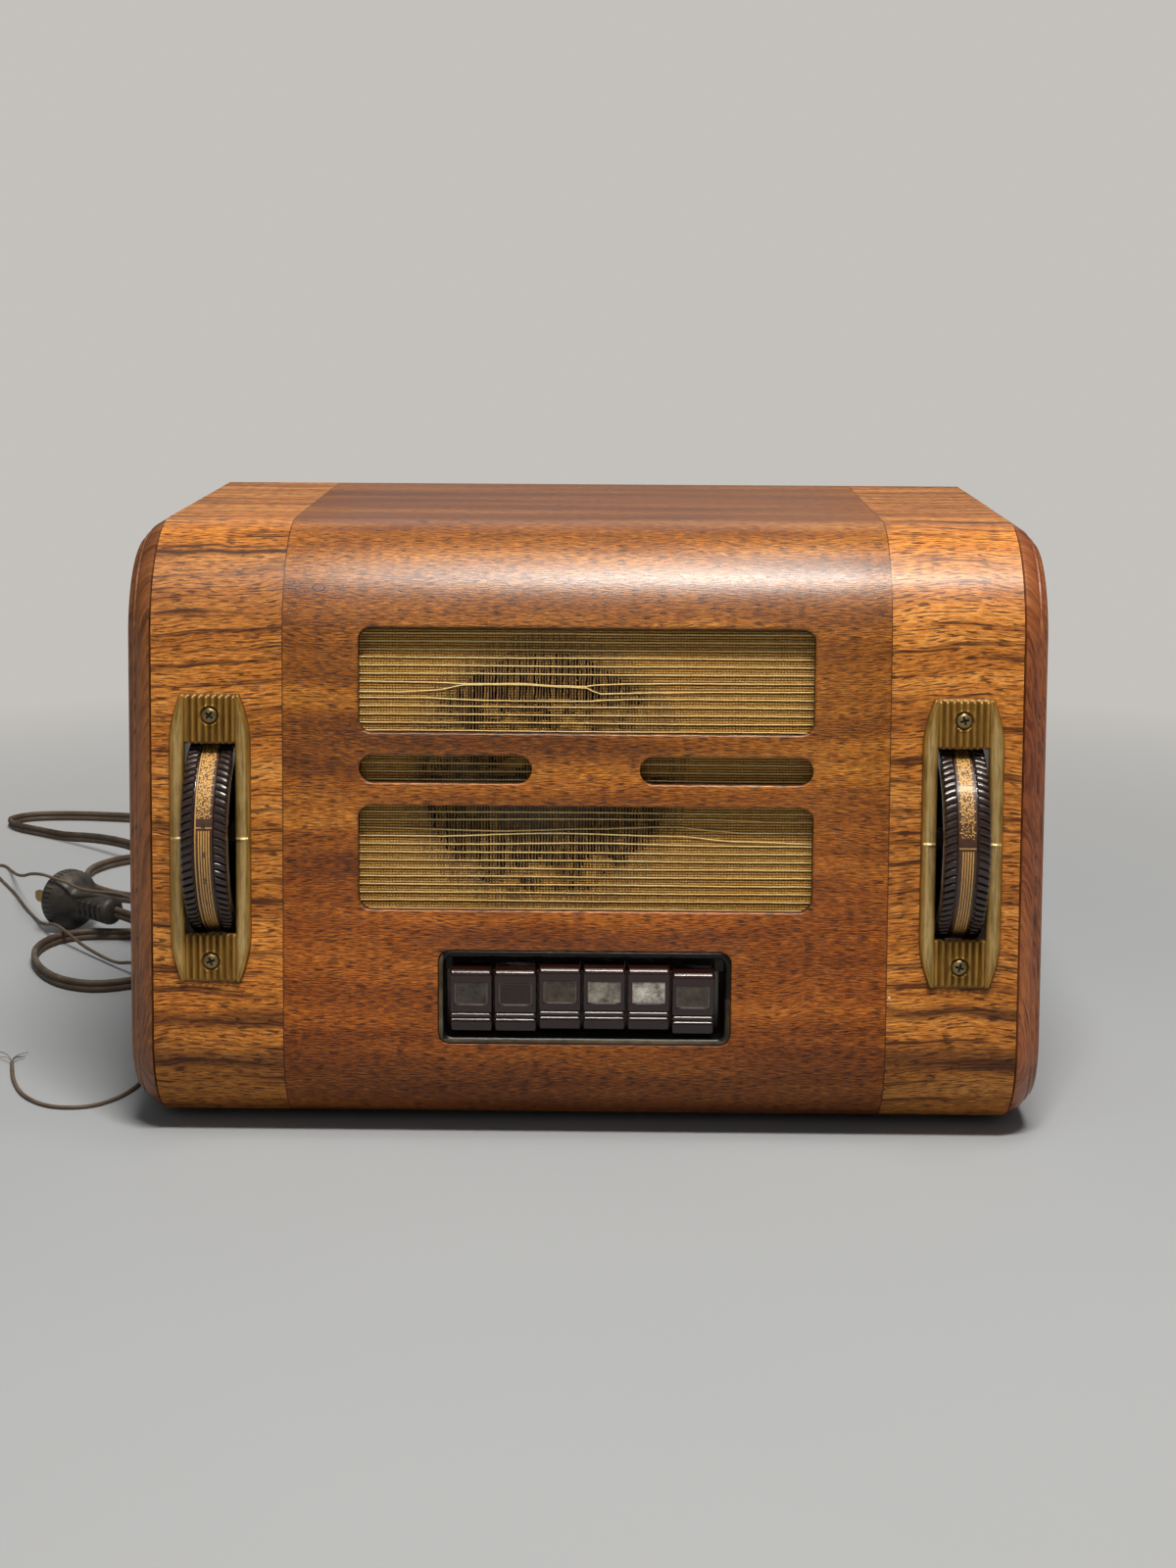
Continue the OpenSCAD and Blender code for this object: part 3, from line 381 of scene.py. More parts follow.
def new_tree(name, kind, inputs, outputs):
    """A node group. inputs holds (name, kind of socket, value) and outputs (name, kind of socket)."""
    tree = bpy.data.node_groups.new(name, kind)
    for label, sort, value in inputs:
        socket = tree.interface.new_socket(name=label, in_out="INPUT", socket_type="NodeSocket" + sort)
        if value is not None:
            socket.default_value = value
    for label, sort in outputs:
        tree.interface.new_socket(name=label, in_out="OUTPUT", socket_type="NodeSocket" + sort)
    wires = Wiring(tree)
    return wires, wires.of("NodeGroupInput"), wires.add("NodeGroupOutput").inputs


# %% Copies round an axis and copies in a row
def copying_tree(name, *sizes):
    """A Geometry Nodes tree that makes something of a form. sizes are its own inputs."""
    inputs = [("Form", "Geometry", None), *sizes, ("Finish", "Material", None)]
    return new_tree(name, "GeometryNodeTree", inputs, [("Form", "Geometry")])


def end_tree(wires, form, given, result):
    """Every tree ends in real faces with their finish."""
    real = wires.of("GeometryNodeRealizeInstances", {0: form})[0]
    dressed = wires.of("GeometryNodeSetMaterial", {"Geometry": real, "Material": given["Finish"]})
    wires.join(dressed[0], result["Form"])
    return wires.tree


def ring_of_copies_tree():
    wires, given, result = copying_tree("Ring of copies", ("Count", "Int", 12),
                                        ("Axis", "Vector", (1.0, 0.0, 0.0)), ("Centre", "Vector", None))
    points = wires.of("GeometryNodeMeshLine", {"Count": given["Count"], "Offset": (0.0, 0.0, 0.0)})
    angle = wires.of("GeometryNodeInputIndex")[0] * (2 * pi / given["Count"])
    turn = wires.of("ShaderNodeVectorMath", {0: given["Axis"], "Scale": angle}, operation="SCALE")
    copies = wires.of("GeometryNodeInstanceOnPoints", {
        "Points": points[0], "Instance": given["Form"], "Rotation": turn[0]})
    placed = wires.of("GeometryNodeTransform", {"Geometry": copies[0], "Translation": given["Centre"]})
    return end_tree(wires, placed[0], given, result)


def row_of_copies_tree():
    wires, given, result = copying_tree("Row of copies", ("Count", "Int", 6), ("Step", "Vector", None),
                                        ("Start", "Vector", None))
    points = wires.of("GeometryNodeMeshLine", {
        "Count": given["Count"], "Offset": given["Step"], "Start Location": given["Start"]})
    copies = wires.of("GeometryNodeInstanceOnPoints", {"Points": points[0], "Instance": given["Form"]})
    return end_tree(wires, copies[0], given, result)


def threads_tree():
    """Wires or threads: the curves that come in get a round section."""
    wires, given, result = copying_tree("Round section", ("Radius", "Float", 0.0002), ("Sides", "Int", 6))
    circle = wires.of("GeometryNodeCurvePrimitiveCircle", {
        "Resolution": given["Sides"], "Radius": given["Radius"]})
    swept = wires.of("GeometryNodeCurveToMesh", {
        "Curve": given["Form"], "Profile Curve": circle[0], "Fill Caps": True})
    return end_tree(wires, swept[0], given, result)


RING_OF_COPIES = ring_of_copies_tree()
ROW_OF_COPIES = row_of_copies_tree()
ROUND_SECTION = threads_tree()


def grow(source, tree, values):
    """Runs a tree on a source object and returns the result as a plain mesh, without the source."""
    bpy.context.collection.objects.link(source)
    modifier = source.modifiers.new("grow", "NODES")
    modifier.node_group = tree
    sockets = {item.name: item.identifier for item in tree.interface.items_tree
               if item.in_out == "INPUT"}
    for label, value in values.items():
        modifier[sockets[label]] = value
    graph = bpy.context.evaluated_depsgraph_get()
    mesh = bpy.data.meshes.new_from_object(source.evaluated_get(graph), depsgraph=graph)
    source.modifiers.remove(modifier)
    bpy.data.objects.remove(source)
    return mesh


def form_of(bm):
    """A loose object that holds a small form for a tree to copy."""
    bmesh.ops.recalc_face_normals(bm, faces=bm.faces[:])
    return loose_object("form", bm)


def wires_of(routes):
    """A loose curve object with one spline for each route, given in metres."""
    curve = bpy.data.curves.new("wires", "CURVE")
    curve.dimensions = "3D"
    for route in routes:
        spline = curve.splines.new("POLY")
        spline.points.add(len(route) - 1)
        for point, place in zip(spline.points, route):
            point.co = (*place, 1.0)
    return bpy.data.objects.new("wires", curve)


def thread_piece(name, routes, radius, sides, finish, slot, nodes="", **how):
    """Wires or threads with a round section, as one piece."""
    bm = bmesh.new()
    bm.from_mesh(grow(wires_of(routes), ROUND_SECTION, {"Radius": radius, "Sides": sides, "Finish": finish}))
    return close_piece(name, bm, [finish], slot, nodes, **how)


# %% [markdown]
# ## Effects that several finishes share
# Wood figure, the mottling of old lacquer and settled dust are each used by more than one finish, so
# each is a node group that is built once. A group gives out masks and heights only; the finish that uses
# it decides on colours and gloss.

# %% Colour and group helpers
def srgb(red, green, blue):
    """A colour as it is read on a screen, 0 to 255, as the linear colour that nodes want."""
    values = [v / 255 for v in (red, green, blue)]
    linear = [v / 12.92 if v <= 0.04045 else ((v + 0.055) / 1.055) ** 2.4 for v in values]
    return (*linear, 1.0)


def shader_group(name, floats, outputs):
    """A group that reads a vector and some numbers and gives out numbers."""
    inputs = [("Vector", "Vector", None)] + [(label, "Float", value) for label, value in floats.items()]
    return new_tree(name, "ShaderNodeTree", inputs, [(label, "Float") for label in outputs])


def wood_figure_group():
    """Grain that runs along the vector's x, in decimetres: slow streaks, dark lines, flecks and pores."""
    wires, given, result = shader_group(
        "Wood figure", {"Streaks": 8.0, "Line share": 0.10, "Fleck length": 26.0, "Fleck width": 120.0,
                        "Wander": 0.12, "Pore share": 0.6}, ("Figure", "Lines", "Pores", "Height"))
    slow = wires.noise(given["Vector"] * (0.9, 0.8, 1.0), 1.6, 2.0)
    small = wires.noise(given["Vector"] * (5.0, 3.0, 1.0), 1.0, 2.0)
    shift = (slow - 0.5) * given["Wander"]
    shift = (small - 0.5) * 0.01 + shift
    bent = given["Vector"] + wires.combine(0.0, shift, 0.0)

    def stretched(along, across, detail, roughness=0.55):
        vector = bent * wires.combine(along, across, 1.0)
        return wires.noise(vector, 1.0, detail, roughness)

    streaks = wires.between(stretched(0.45, given["Streaks"], 3.0), 0.32, 0.68)
    thread = stretched(1.1, given["Streaks"] * 3.3, 3.0, 0.6)
    width = 0.5 - given["Line share"]
    lines = wires.between(thread, width + 0.05, width - 0.05)
    broken = wires.between(stretched(4.0, given["Fleck width"], 2.0), 0.35, 0.55)
    lines = lines * (broken * 0.6 + 0.4)
    flecks = wires.between(stretched(given["Fleck length"], given["Fleck width"], 3.0, 0.7), 0.38, 0.62)
    pores = stretched(given["Fleck length"] * 0.8, given["Fleck width"] * 1.15, 1.0, 0.4)
    limit = given["Pore share"]
    pores = wires.between(pores, limit, limit + 0.03)
    wires.join(flecks * 0.5 + streaks * 0.5, result["Figure"])
    wires.join(lines, result["Lines"])
    wires.join(pores, result["Pores"])
    wires.join(pores * -1.0 + flecks * 0.3, result["Height"])
    return wires.tree


def settled_dust_group():
    """A mask for dust: thick on what faces up, patchy, and speckled."""
    wires, given, result = shader_group("Settled dust", {"Amount": 0.5}, ("Dust", "Specks"))
    up = wires.split(wires.of("ShaderNodeNewGeometry")["Normal"])[2]
    lying = wires.between(up, -0.2, 1.0, 0.15, 1.0)
    patches = wires.between(wires.noise(given["Vector"], 60.0, 4.0, 0.65), 0.32, 0.7)
    dust = lying * patches * given["Amount"]
    wires.join(dust, result["Dust"])
    specks = wires.between(wires.noise(given["Vector"], 900.0, 2.0, 0.6), 0.7, 0.74)
    wires.join(specks * given["Amount"], result["Specks"])
    return wires.tree


def handled_gloss_group():
    """Uneven gloss: long smears and fine rubbing, as a value to add to a roughness."""
    wires, given, result = shader_group("Handled gloss", {"Base": 0.3, "Spread": 0.1}, ("Roughness", "Mottle"))
    smears = wires.noise(given["Vector"], 22.0, 4.0, 0.6)
    rubbing = wires.noise(given["Vector"] * (1.0, 4.0, 1.0), 160.0, 2.0)
    mottle = smears * 0.65 + rubbing * 0.35
    offset = (mottle - 0.5) * given["Spread"]
    wires.join(given["Base"] + offset, result["Roughness"])
    wires.join(mottle, result["Mottle"])
    return wires.tree


WOOD_FIGURE = wood_figure_group()
SETTLED_DUST = settled_dust_group()
HANDLED_GLOSS = handled_gloss_group()


class Finish(Wiring):
    """The wiring of a material. constants are set on the Principled shader's own sockets."""

    def __init__(self, name, constants):
        self.material = bpy.data.materials.new(name)
        self.material.use_nodes = True
        super().__init__(self.material.node_tree)
        self.shader = self.tree.nodes["Principled BSDF"]
        for label, value in constants.items():
            self.shader.inputs[label].default_value = value

    @cached_property
    def place(self):
        return self.of("ShaderNodeTexCoord")["Object"]

    def unrolled(self, layer):
        return self.of("ShaderNodeUVMap", uv_map=layer)[0]

    def marked(self, layer):
        return self.of("ShaderNodeAttribute", attribute_name=layer)["Fac"]

    def group(self, tree, inputs):
        return self.of("ShaderNodeGroup", inputs, node_tree=tree)

    def gloss(self, base, spread):
        return self.group(HANDLED_GLOSS, {"Vector": self.place, "Base": base, "Spread": spread})

    def dust(self, amount):
        return self.group(SETTLED_DUST, {"Vector": self.place, "Amount": amount})

    def end(self, colour, roughness=None, normal=None, others=None):
        """Joins the results to the shader's sockets and gives the material."""
        results = {"Base Color": colour, "Roughness": roughness, "Normal": normal, **(others or {})}
        for label, value in results.items():
            if value is not None:
                self.join(value, self.shader.inputs[label])
        return self.material


# %% [markdown]
# ## The camera
# The photograph was taken from about a metre, a little above the radio. The place and the focal length
# come from fitting the cabinet's own edges, so picture and render lie on top of each other.

# %% Camera
camera_at = Vector((0.0127, -1.0604, 0.3645))
camera_pitch = radians(12.5)
camera_yaw = radians(-0.7)
camera_roll = radians(0.3)
camera_lens = 54.4

forward = Vector((sin(camera_yaw) * cos(camera_pitch),
                  cos(camera_yaw) * cos(camera_pitch), -sin(camera_pitch)))
level_right = forward.cross(Vector((0, 0, 1))).normalized()
level_up = level_right.cross(forward)
tilt_right = level_right * cos(camera_roll) + level_up * sin(camera_roll)
tilt_up = level_up * cos(camera_roll) - level_right * sin(camera_roll)
camera_data = bpy.data.cameras.new("camera")
camera_data.lens = camera_lens
camera_data.sensor_width = 36.0
camera_data.clip_start = 0.05
camera_data.clip_end = 60.0
camera = bpy.data.objects.new("camera", camera_data)
bpy.context.collection.objects.link(camera)
turned = Matrix((tilt_right, tilt_up, -forward)).transposed()
camera.matrix_world = Matrix.Translation(camera_at) @ turned.to_4x4()
bpy.context.scene.camera = camera
print("camera", [round(v, 3) for v in camera_at])

# %% [markdown]
# ## Floor and light
# A lamp over the radio, as a ceiling tube is, draws the bright band along the upper bend. A weak one in
# front keeps the keys and the cloth readable. Far off, the plain floor turns into the colour of the
# backdrop, so that no horizon cuts the picture.

# %% Floor, backdrop and lamps
backdrop_colour = srgb(196, 193, 188)
floor_colour = srgb(176, 181, 186)


def make_floor():
    wires = Finish("pale_floor", {"Roughness": 0.9, "Specular IOR Level": 0.2})
    soft = wires.noise(wires.place, 3.0, 3.0)
    path = wires.of("ShaderNodeLightPath")
    seen = wires.most(path["Is Camera Ray"], path["Is Glossy Ray"])
    far = wires.between(wires.length(wires.place), 0.3, 1.0) * seen
    glow = wires.of("ShaderNodeEmission", {"Color": backdrop_colour, "Strength": 1.0})[0]
    mixed = wires.of("ShaderNodeMixShader", {0: far, 1: Value(wires, wires.shader.outputs[0]), 2: glow})
    wires.join(mixed[0], wires.tree.nodes["Material Output"].inputs["Surface"])
    bm = bmesh.new()
    bmesh.ops.create_circle(bm, cap_ends=True, segments=96, radius=9.0)
    floor = loose_object("pale_floor", bm)
    floor.data.materials.append(
        wires.end(wires.mix(wires.between(soft, 0.3, 0.7, 0.0, 0.12), floor_colour, srgb(158, 162, 166))))
    bpy.context.collection.objects.link(floor)


def make_world():
    world = bpy.data.worlds.new("studio")
    bpy.context.scene.world = world
    world.use_nodes = True
    wires = Wiring(world.node_tree)
    back = world.node_tree.nodes["Background"]
    path = wires.of("ShaderNodeLightPath")
    seen = wires.most(path["Is Camera Ray"], path["Is Transmission Ray"])
    wires.join(wires.mix(seen, srgb(205, 208, 214), backdrop_colour), back.inputs["Color"])
    wires.join(wires.between(seen, 0.0, 1.0, world_strength, 1.0), back.inputs["Strength"])


def make_lamp(name, place, aim, width, height, power, colour):
    data = bpy.data.lights.new(name, "AREA")
    data.shape = "RECTANGLE"
    data.size = width
    data.size_y = height
    data.energy = power
    data.color = colour
    lamp = bpy.data.objects.new(name, data)
    lamp.location = place
    lamp.rotation_euler = (Vector(aim) - Vector(place)).to_track_quat("-Z", "Y").to_euler()
    bpy.context.collection.objects.link(lamp)


world_strength = 0.13
make_floor()
make_world()
make_lamp("ceiling_tube", (0.15, -0.62, 1.62), (0.03, -0.1, 0.2), 0.62, 0.12, 24.5, (1.0, 0.94, 0.86))
make_lamp("ceiling_panel", (0.12, -0.15, 1.75), (0.0, 0.0, 0.15), 0.8, 0.4, 7.0, (1.0, 0.95, 0.88))
make_lamp("back_fill", (0.0, 2.0, 1.4), (0.0, 0.1, 0.1), 1.8, 1.0, 2.8, (1.0, 0.97, 0.93))
make_lamp("front_fill", (-0.4, -2.0, 1.2), (0.0, 0.0, 0.12), 1.6, 1.2, 2.4, (1.0, 0.96, 0.91))

# %% [markdown]
# ## The mains lead
# The lead is flat twin flex, about 6.5 by 3.3 mm, and lies on its edge. The photograph shows only its
# loops at the left; the rest of about 1.8 m in all is wound into a small coil behind the cabinet. Two
# round cores give the section. A bevelled curve would roll over in the bends, so rings are placed along
# the route with their long side kept upright.

# %% Route of the mains lead, in millimetres
mains_out = [
    (-112, 119, 34), (-112, 130, 34), (-112, 142, 31), (-112, 153, 24), (-112, 162, 14),
    (-112, 173, 6), (-112, 188, 3.4), (-112, 205, 3.4), (-112, 221, 3.4)]
mains_away = [
    (-114, 229, 10), (-130, 250, 9), (-148, 274, 4), (-168, 302, 3.4), (-192, 336, 3.4),
    (-216, 370, 3.4), (-240, 404, 3.4), (-264, 432, 3.4), (-291, 450, 3.4), (-322, 457, 3.4),
    (-351, 459, 3.4), (-373, 455, 3.4), (-383, 442, 3.4), (-375, 427, 3.4), (-357, 414, 3.4),
    (-338, 400, 4), (-314, 379, 8), (-290, 356, 10.4), (-266, 334, 9), (-245, 318, 4),
    (-225, 314, 3.4), (-213, 327, 3.4), (-218, 345, 3.4), (-240, 353, 3.4), (-268, 352, 3.4),
    (-290, 341, 3.4), (-302, 320, 3.4), (-301, 296, 3.4), (-291, 274, 3.4), (-272, 258, 3.4),
    (-248, 250, 3.4), (-228, 240, 3.4), (-215, 222, 3.4), (-216, 200, 3.4), (-232, 185, 3.4),
    (-255, 181, 3.4), (-275, 180, 3.4), (-289, 171, 3.4), (-295, 154, 3.4), (-293, 134, 3.4),
    (-284, 112, 3.4), (-270, 94, 3.4), (-252, 86, 3.4), (-234, 92, 3.4), (-220, 108, 3.4),
    (-213, 128, 3.4), (-216, 147, 5), (-230, 159, 10), (-245, 168, 15), (-258, 176, 17)]
coil_centre = (-70, 240)
coil_turn = 683
coil_outer_r = 42.0
coil_inner_r = 38.0
coil_low_z = 3.4
coil_high_z = 10.1
cord_core_r = 1.63


def coil_route():
    """Two turns, the second on top of the first, from the left side of the coil and clockwise."""
    points = []
    for degrees in range(0, coil_turn + 1, 15):
        turns = degrees / 360
        inward = min(turns, 2 - turns) if turns > 1 else turns
        radius = coil_outer_r - (coil_outer_r - coil_inner_r) * min(inward, 1)
        rise = min(max((turns - 0.75) / 0.35, 0), 1)
        angle = radians(180 - degrees)
        points.append((coil_centre[0] + radius * cos(angle),
                       coil_centre[1] + radius * sin(angle),
                       coil_low_z + (coil_high_z - coil_low_z) * rise))
    return points


def twin_section(core_r, waist=0.8):
    """Two round cores, one above the other, with a groove between them."""
    points = []
    for middle, first in ((core_r * 0.99, -35), (-core_r * 0.99, 145)):
        for i in range(9):
            angle = radians(first + 250 * i / 8)
            points.append((core_r * cos(angle), middle + core_r * sin(angle)))
        points.append((-waist if first < 0 else waist, 0.0))
    return points


mains_route = smooth_route(mains_out + coil_route() + mains_away, 3)
mains_route = [Vector((p.x, p.y, max(p.z, 2 * cord_core_r))) for p in mains_route]
mains_length = route_length(mains_route) * MM
print(f"mains lead {mains_length:.3f} m")

# %% [markdown]
# Old brown rubber is dull and a little powdery, with fine cracks across it where it was bent.

# %% Rubber finishes and the lead itself
def rubber_finish(name, dark, light, roughness, crack=0.4):
    wires = Finish(name, {"Specular IOR Level": 0.35})
    gloss, dust = wires.gloss(roughness, 0.25), wires.dust(0.5)
    colour = wires.mix(dust["Dust"], wires.mix(gloss["Mottle"], dark, light), srgb(150, 140, 126))
    fine = wires.noise(wires.place, 700.0, 3.0, 0.7)
    return wires.end(colour, gloss["Roughness"], wires.bump(fine, crack, 0.0003))


lead_rubber = rubber_finish("brown_lead_rubber", srgb(44, 33, 25), srgb(92, 72, 55), 0.62)
black_rubber = rubber_finish("black_rubber", srgb(14, 14, 14), srgb(40, 38, 36), 0.42, 0.2)
wire_cover = rubber_finish("tan_wire_cover", srgb(70, 56, 44), srgb(118, 98, 78), 0.7)


def make_mains_lead():
    bm = bmesh.new()
    add_tube(bm, sweep_section(mains_route, twin_section(cord_core_r)))
    return close_piece("mains_lead", bm, [lead_rubber], "cord_rubber", "mains_cord mains_coil", sharp=60)


mains_lead = make_mains_lead()

# %% [markdown]
# ## The plug and the rubber bush
# The plug is a moulded disc with a ribbed rim, a stem with flats, and two brass blades. A lathe profile
# makes it, and the grip ribs round the rim are copies laid out in a ring by the tree above.

# %% Plug, blades and bush
plug_centre = Vector((-287.0, 200.0, 17.0))
plug_turn = radians(140)
plug_rim_r = 17.0
plug_axis = Vector((cos(plug_turn), sin(plug_turn), 0))
plug_side = Vector((-sin(plug_turn), cos(plug_turn), 0))


def on_plug(along, across, up):
    return (plug_centre + plug_axis * along + plug_side * across + Vector((0, 0, up))) * MM


def make_plug():
    bm = bmesh.new()
    profile = [
        (7.2, 0.01), (7.2, 9), (7.5, 9.6), (7.9, 10.2), (8, 14.6), (7.7, 15.6), (6.9, 16.1),
        (5.8, 16.3), (-0.6, 16.3), (-1.4, 16), (-3.2, 15), (-5.2, 13.6), (-6.6, 11.9), (-7.6, 10.2),
        (-8.8, 9), (-10.6, 8.2), (-12.5, 7.6), (-22, 7.4), (-33.2, 7.6), (-34.6, 7.2), (-35.8, 6),
        (-36.3, 4.4), (-36.4, 0.01)]
    add_turning(bm, profile, on_plug, 64)
    for side in (-1, 1):
        for k in range(5):
            along = -14.5 - 4.4 * k
            half = [(along - 1.3, 3.2), (along - 1.0, 4.6), (along + 1.0, 4.6), (along + 1.3, 3.2)]
            rows = []
            for a, tall in half:
                reach = 6.6 if tall < 4 else 7.95
                rows.append([on_plug(a, side * 5.6, -tall), on_plug(a, side * reach, -tall * 0.8),
                             on_plug(a, side * reach, tall * 0.8), on_plug(a, side * 5.6, tall)])
            add_tube(bm, rows)
    rib = bmesh.new()
    rows = []
    for along, rise in ((-1.2, -0.6), (-0.5, 0.35), (0.4, 0.62), (5, 0.62), (5.9, 0.3), (6.5, -0.6)):
        section = ((-0.85, -0.7), (-0.6, rise * 0.6), (0.0, rise), (0.6, rise * 0.6), (0.85, -0.7))
        rows.append([metres(plug_rim_r - 0.75 + up, across, along) for across, up in section])
    add_tube(rib, rows)
    ribs = grow(form_of(rib), RING_OF_COPIES, {"Count": 40, "Axis": (0.0, 0.0, 1.0), "Finish": black_rubber})
    basis = Matrix((Vector((0, 0, 1)), plug_side, plug_axis)).transposed().to_4x4()
    ribs.transform(Matrix.Translation(plug_centre * MM) @ basis)
    bm.from_mesh(ribs)
    return close_piece("plug", bm, [black_rubber], "black_rubber", "mains_plug", sharp=40)


def make_blades():
    bm = bmesh.new()
    for side in (-1, 1):
        rows = []
        for along, narrow in ((6.5, 0), (22, 0), (23.6, 0.5), (24.6, 1.4), (25, 2.4)):
            wide = 3.2 - narrow
            thick = 0.72 - narrow * 0.12
            rows.append([on_plug(along, side * 6.35 + b * thick, a * wide)
                         for a, b in ((-1, -1), (1, -1), (1, 1), (-1, 1))])
        add_tube(bm, rows)
    return close_piece("plug_blades", bm, [old_brass], "brass", "plug_prongs")


def brass_finish():
    wires = Finish("tarnished_brass", {"Metallic": 1.0})
    gloss = wires.gloss(0.42, 0.3)
    return wires.end(wires.mix(gloss["Mottle"], srgb(110, 86, 46), srgb(196, 166, 104)), gloss["Roughness"])


old_brass = brass_finish()
plug = make_plug()
blades = make_blades()
grommet_at = (-112.0, 34.0)
aerial_hole_at = (-140.0, 42.0)
chassis_high = node_box("chassis")[1]


def make_bush():
    """A tapered sleeve with rings, and the small bush that the aerial wire comes out of."""
    bm = bmesh.new()
    back = chassis_high.y
    profile = [(-3.2, 0.01), (-3.2, 4.6), (0, 4.7), (0.02, 7.1), (0.5, 7.6), (2.2, 7.6), (2.7, 7)]
    for k in range(6):
        start = 2.9 + 3.1 * k
        radius = 6.2 - 0.33 * k
        profile += [(start, radius - 0.5), (start + 0.5, radius), (start + 2.2, radius),
                    (start + 2.6, radius - 0.5)]
    profile += [(21.8, 3.9), (22, 0.01)]
    add_turning(bm, profile, along_y((grommet_at[0], back, grommet_at[1])), 32)
    small = [(-2.4, 0.01), (-2.4, 1.8), (0, 1.8), (0.1, 2.9), (0.6, 3.2), (1, 2.6), (1.2, 1.6), (1.25, 0.01)]
    add_turning(bm, small, along_y((aerial_hole_at[0], back, aerial_hole_at[1])), 24)
    return close_piece("lead_bush", bm, [black_rubber], "black_rubber", "cord_grommet")


lead_bush = make_bush()
[tuple(p * MM) for p in mains_route]

# %% [markdown]
# ## The aerial wire
# A thin covered wire leaves the chassis beside the mains lead, lies over the plug, runs far out to the
# left and comes back along the cabinet's foot to a frayed end. It is round, so eight points a ring are
# plenty, and the frayed strands are thin wires of their own.

# %% Aerial wire and its strands
aerial_route = [
    (-140, 98.5, 42), (-141, 108, 42), (-144, 120, 36), (-149, 131, 22), (-156, 141, 8),
    (-167, 150, 1), (-184, 160, 1), (-202, 168, 3), (-222, 174, 12), (-240, 178, 20),
    (-256, 180, 26), (-276, 183, 27.5), (-288, 187, 31), (-296, 192, 32), (-304, 202, 31),
    (-316, 226, 25), (-328, 256, 16), (-340, 288, 8), (-352, 320, 2), (-357, 331, 1),
    (-361, 336, 1), (-365, 336, 1), (-367, 331, 1), (-364, 323, 1), (-357, 309, 1),
    (-338, 272, 1), (-324, 241, 1), (-312, 217, 1),
    (-303, 197, 4), (-290, 176, 9), (-270, 153, 4), (-250, 130, 3), (-236, 112, 7.5),
    (-224, 84, 7.5), (-214, 48, 2), (-206, 8, 1), (-200, -26, 1), (-201, -52, 1),
    (-207, -70, 1), (-218, -81, 1), (-234, -81, 1), (-248, -69, 1), (-258, -49, 1),
    (-265, -25, 1)]
aerial_r = 0.9
aerial_path = [Vector((p.x, p.y, max(p.z, aerial_r + 0.05))) for p in smooth_route(aerial_route, 6)]
aerial_length = route_length(aerial_path) * MM
print(f"aerial wire {aerial_length:.3f} m")


def make_aerial():
    section = [(aerial_r * cos(radians(45 * j)), aerial_r * sin(radians(45 * j)))
               for j in range(8)]
    bm = bmesh.new()
    add_tube(bm, sweep_section(aerial_path, section))
    return close_piece("aerial_wire", bm, [wire_cover], "aerial_wire", "antenna_lead", sharp=70)


def make_strands():
    chance = random.Random(4)
    end = aerial_path[-1]
    heading = (aerial_path[-1] - aerial_path[-4]).normalized()
    side = Vector((-heading.y, heading.x, 0))
    routes = []
    for k in range(7):
        fan = chance.uniform(-0.9, 0.9)
        reach = chance.uniform(9, 21)
        lift = chance.uniform(0.5, 5.0)
        route = []
        for i in range(9):
            t = i / 8
            point = end + heading * (reach * t - 2) + side * (fan * reach * t * t)
            point.z = max(0.25, end.z + lift * sin(pi * t) * 0.7)
            route.append(point * MM)
        routes.append(route)
    return thread_piece("aerial_strands", routes, 0.00014, 5, old_brass, "brass")


aerial = make_aerial()
strands = make_strands()
tuple(metres(*aerial_route[0]))

# %% [markdown]
# ## Wood finishes
# The middle of the front is fine mahogany, red brown with short flecks. The ends are a broader, more
# orange veneer with dark streaks and long pores, and the cheeks are plain solid wood. Old lacquer is a
# thin coat on the shader with a gloss that varies. The figure could be read from the place in the room,
# but it must follow the sheet round its bends, so it reads the unrolled UV map, in decimetres.

# %% Veneer on the bent sheet
seam_x = 1.262
# The second row, broad over the left top bend, is painted shade; the others are dark figure in the end veneers.
# up the sheet, half its width, how dark, which side: -1 left, 1 right
dark_figure_and_painted_shade = [(2.49, 0.02, 0.9, -1), (2.36, 0.34, 0.34, -1), (0.50, 0.05, 0.6, -1), (0.33, 0.06, 0.6, -1),
               (0.56, 0.04, 0.6, 1), (0.36, 0.07, 0.6, 1)]
# across, up, half width and height, colour, colour of the rim
small_marks = [(-1.115, 2.32, 0.030, 0.021, srgb(128, 66, 24), srgb(46, 20, 8)),
               (1.275, 0.62, 0.007, 0.007, srgb(230, 226, 214), srgb(150, 130, 100))]


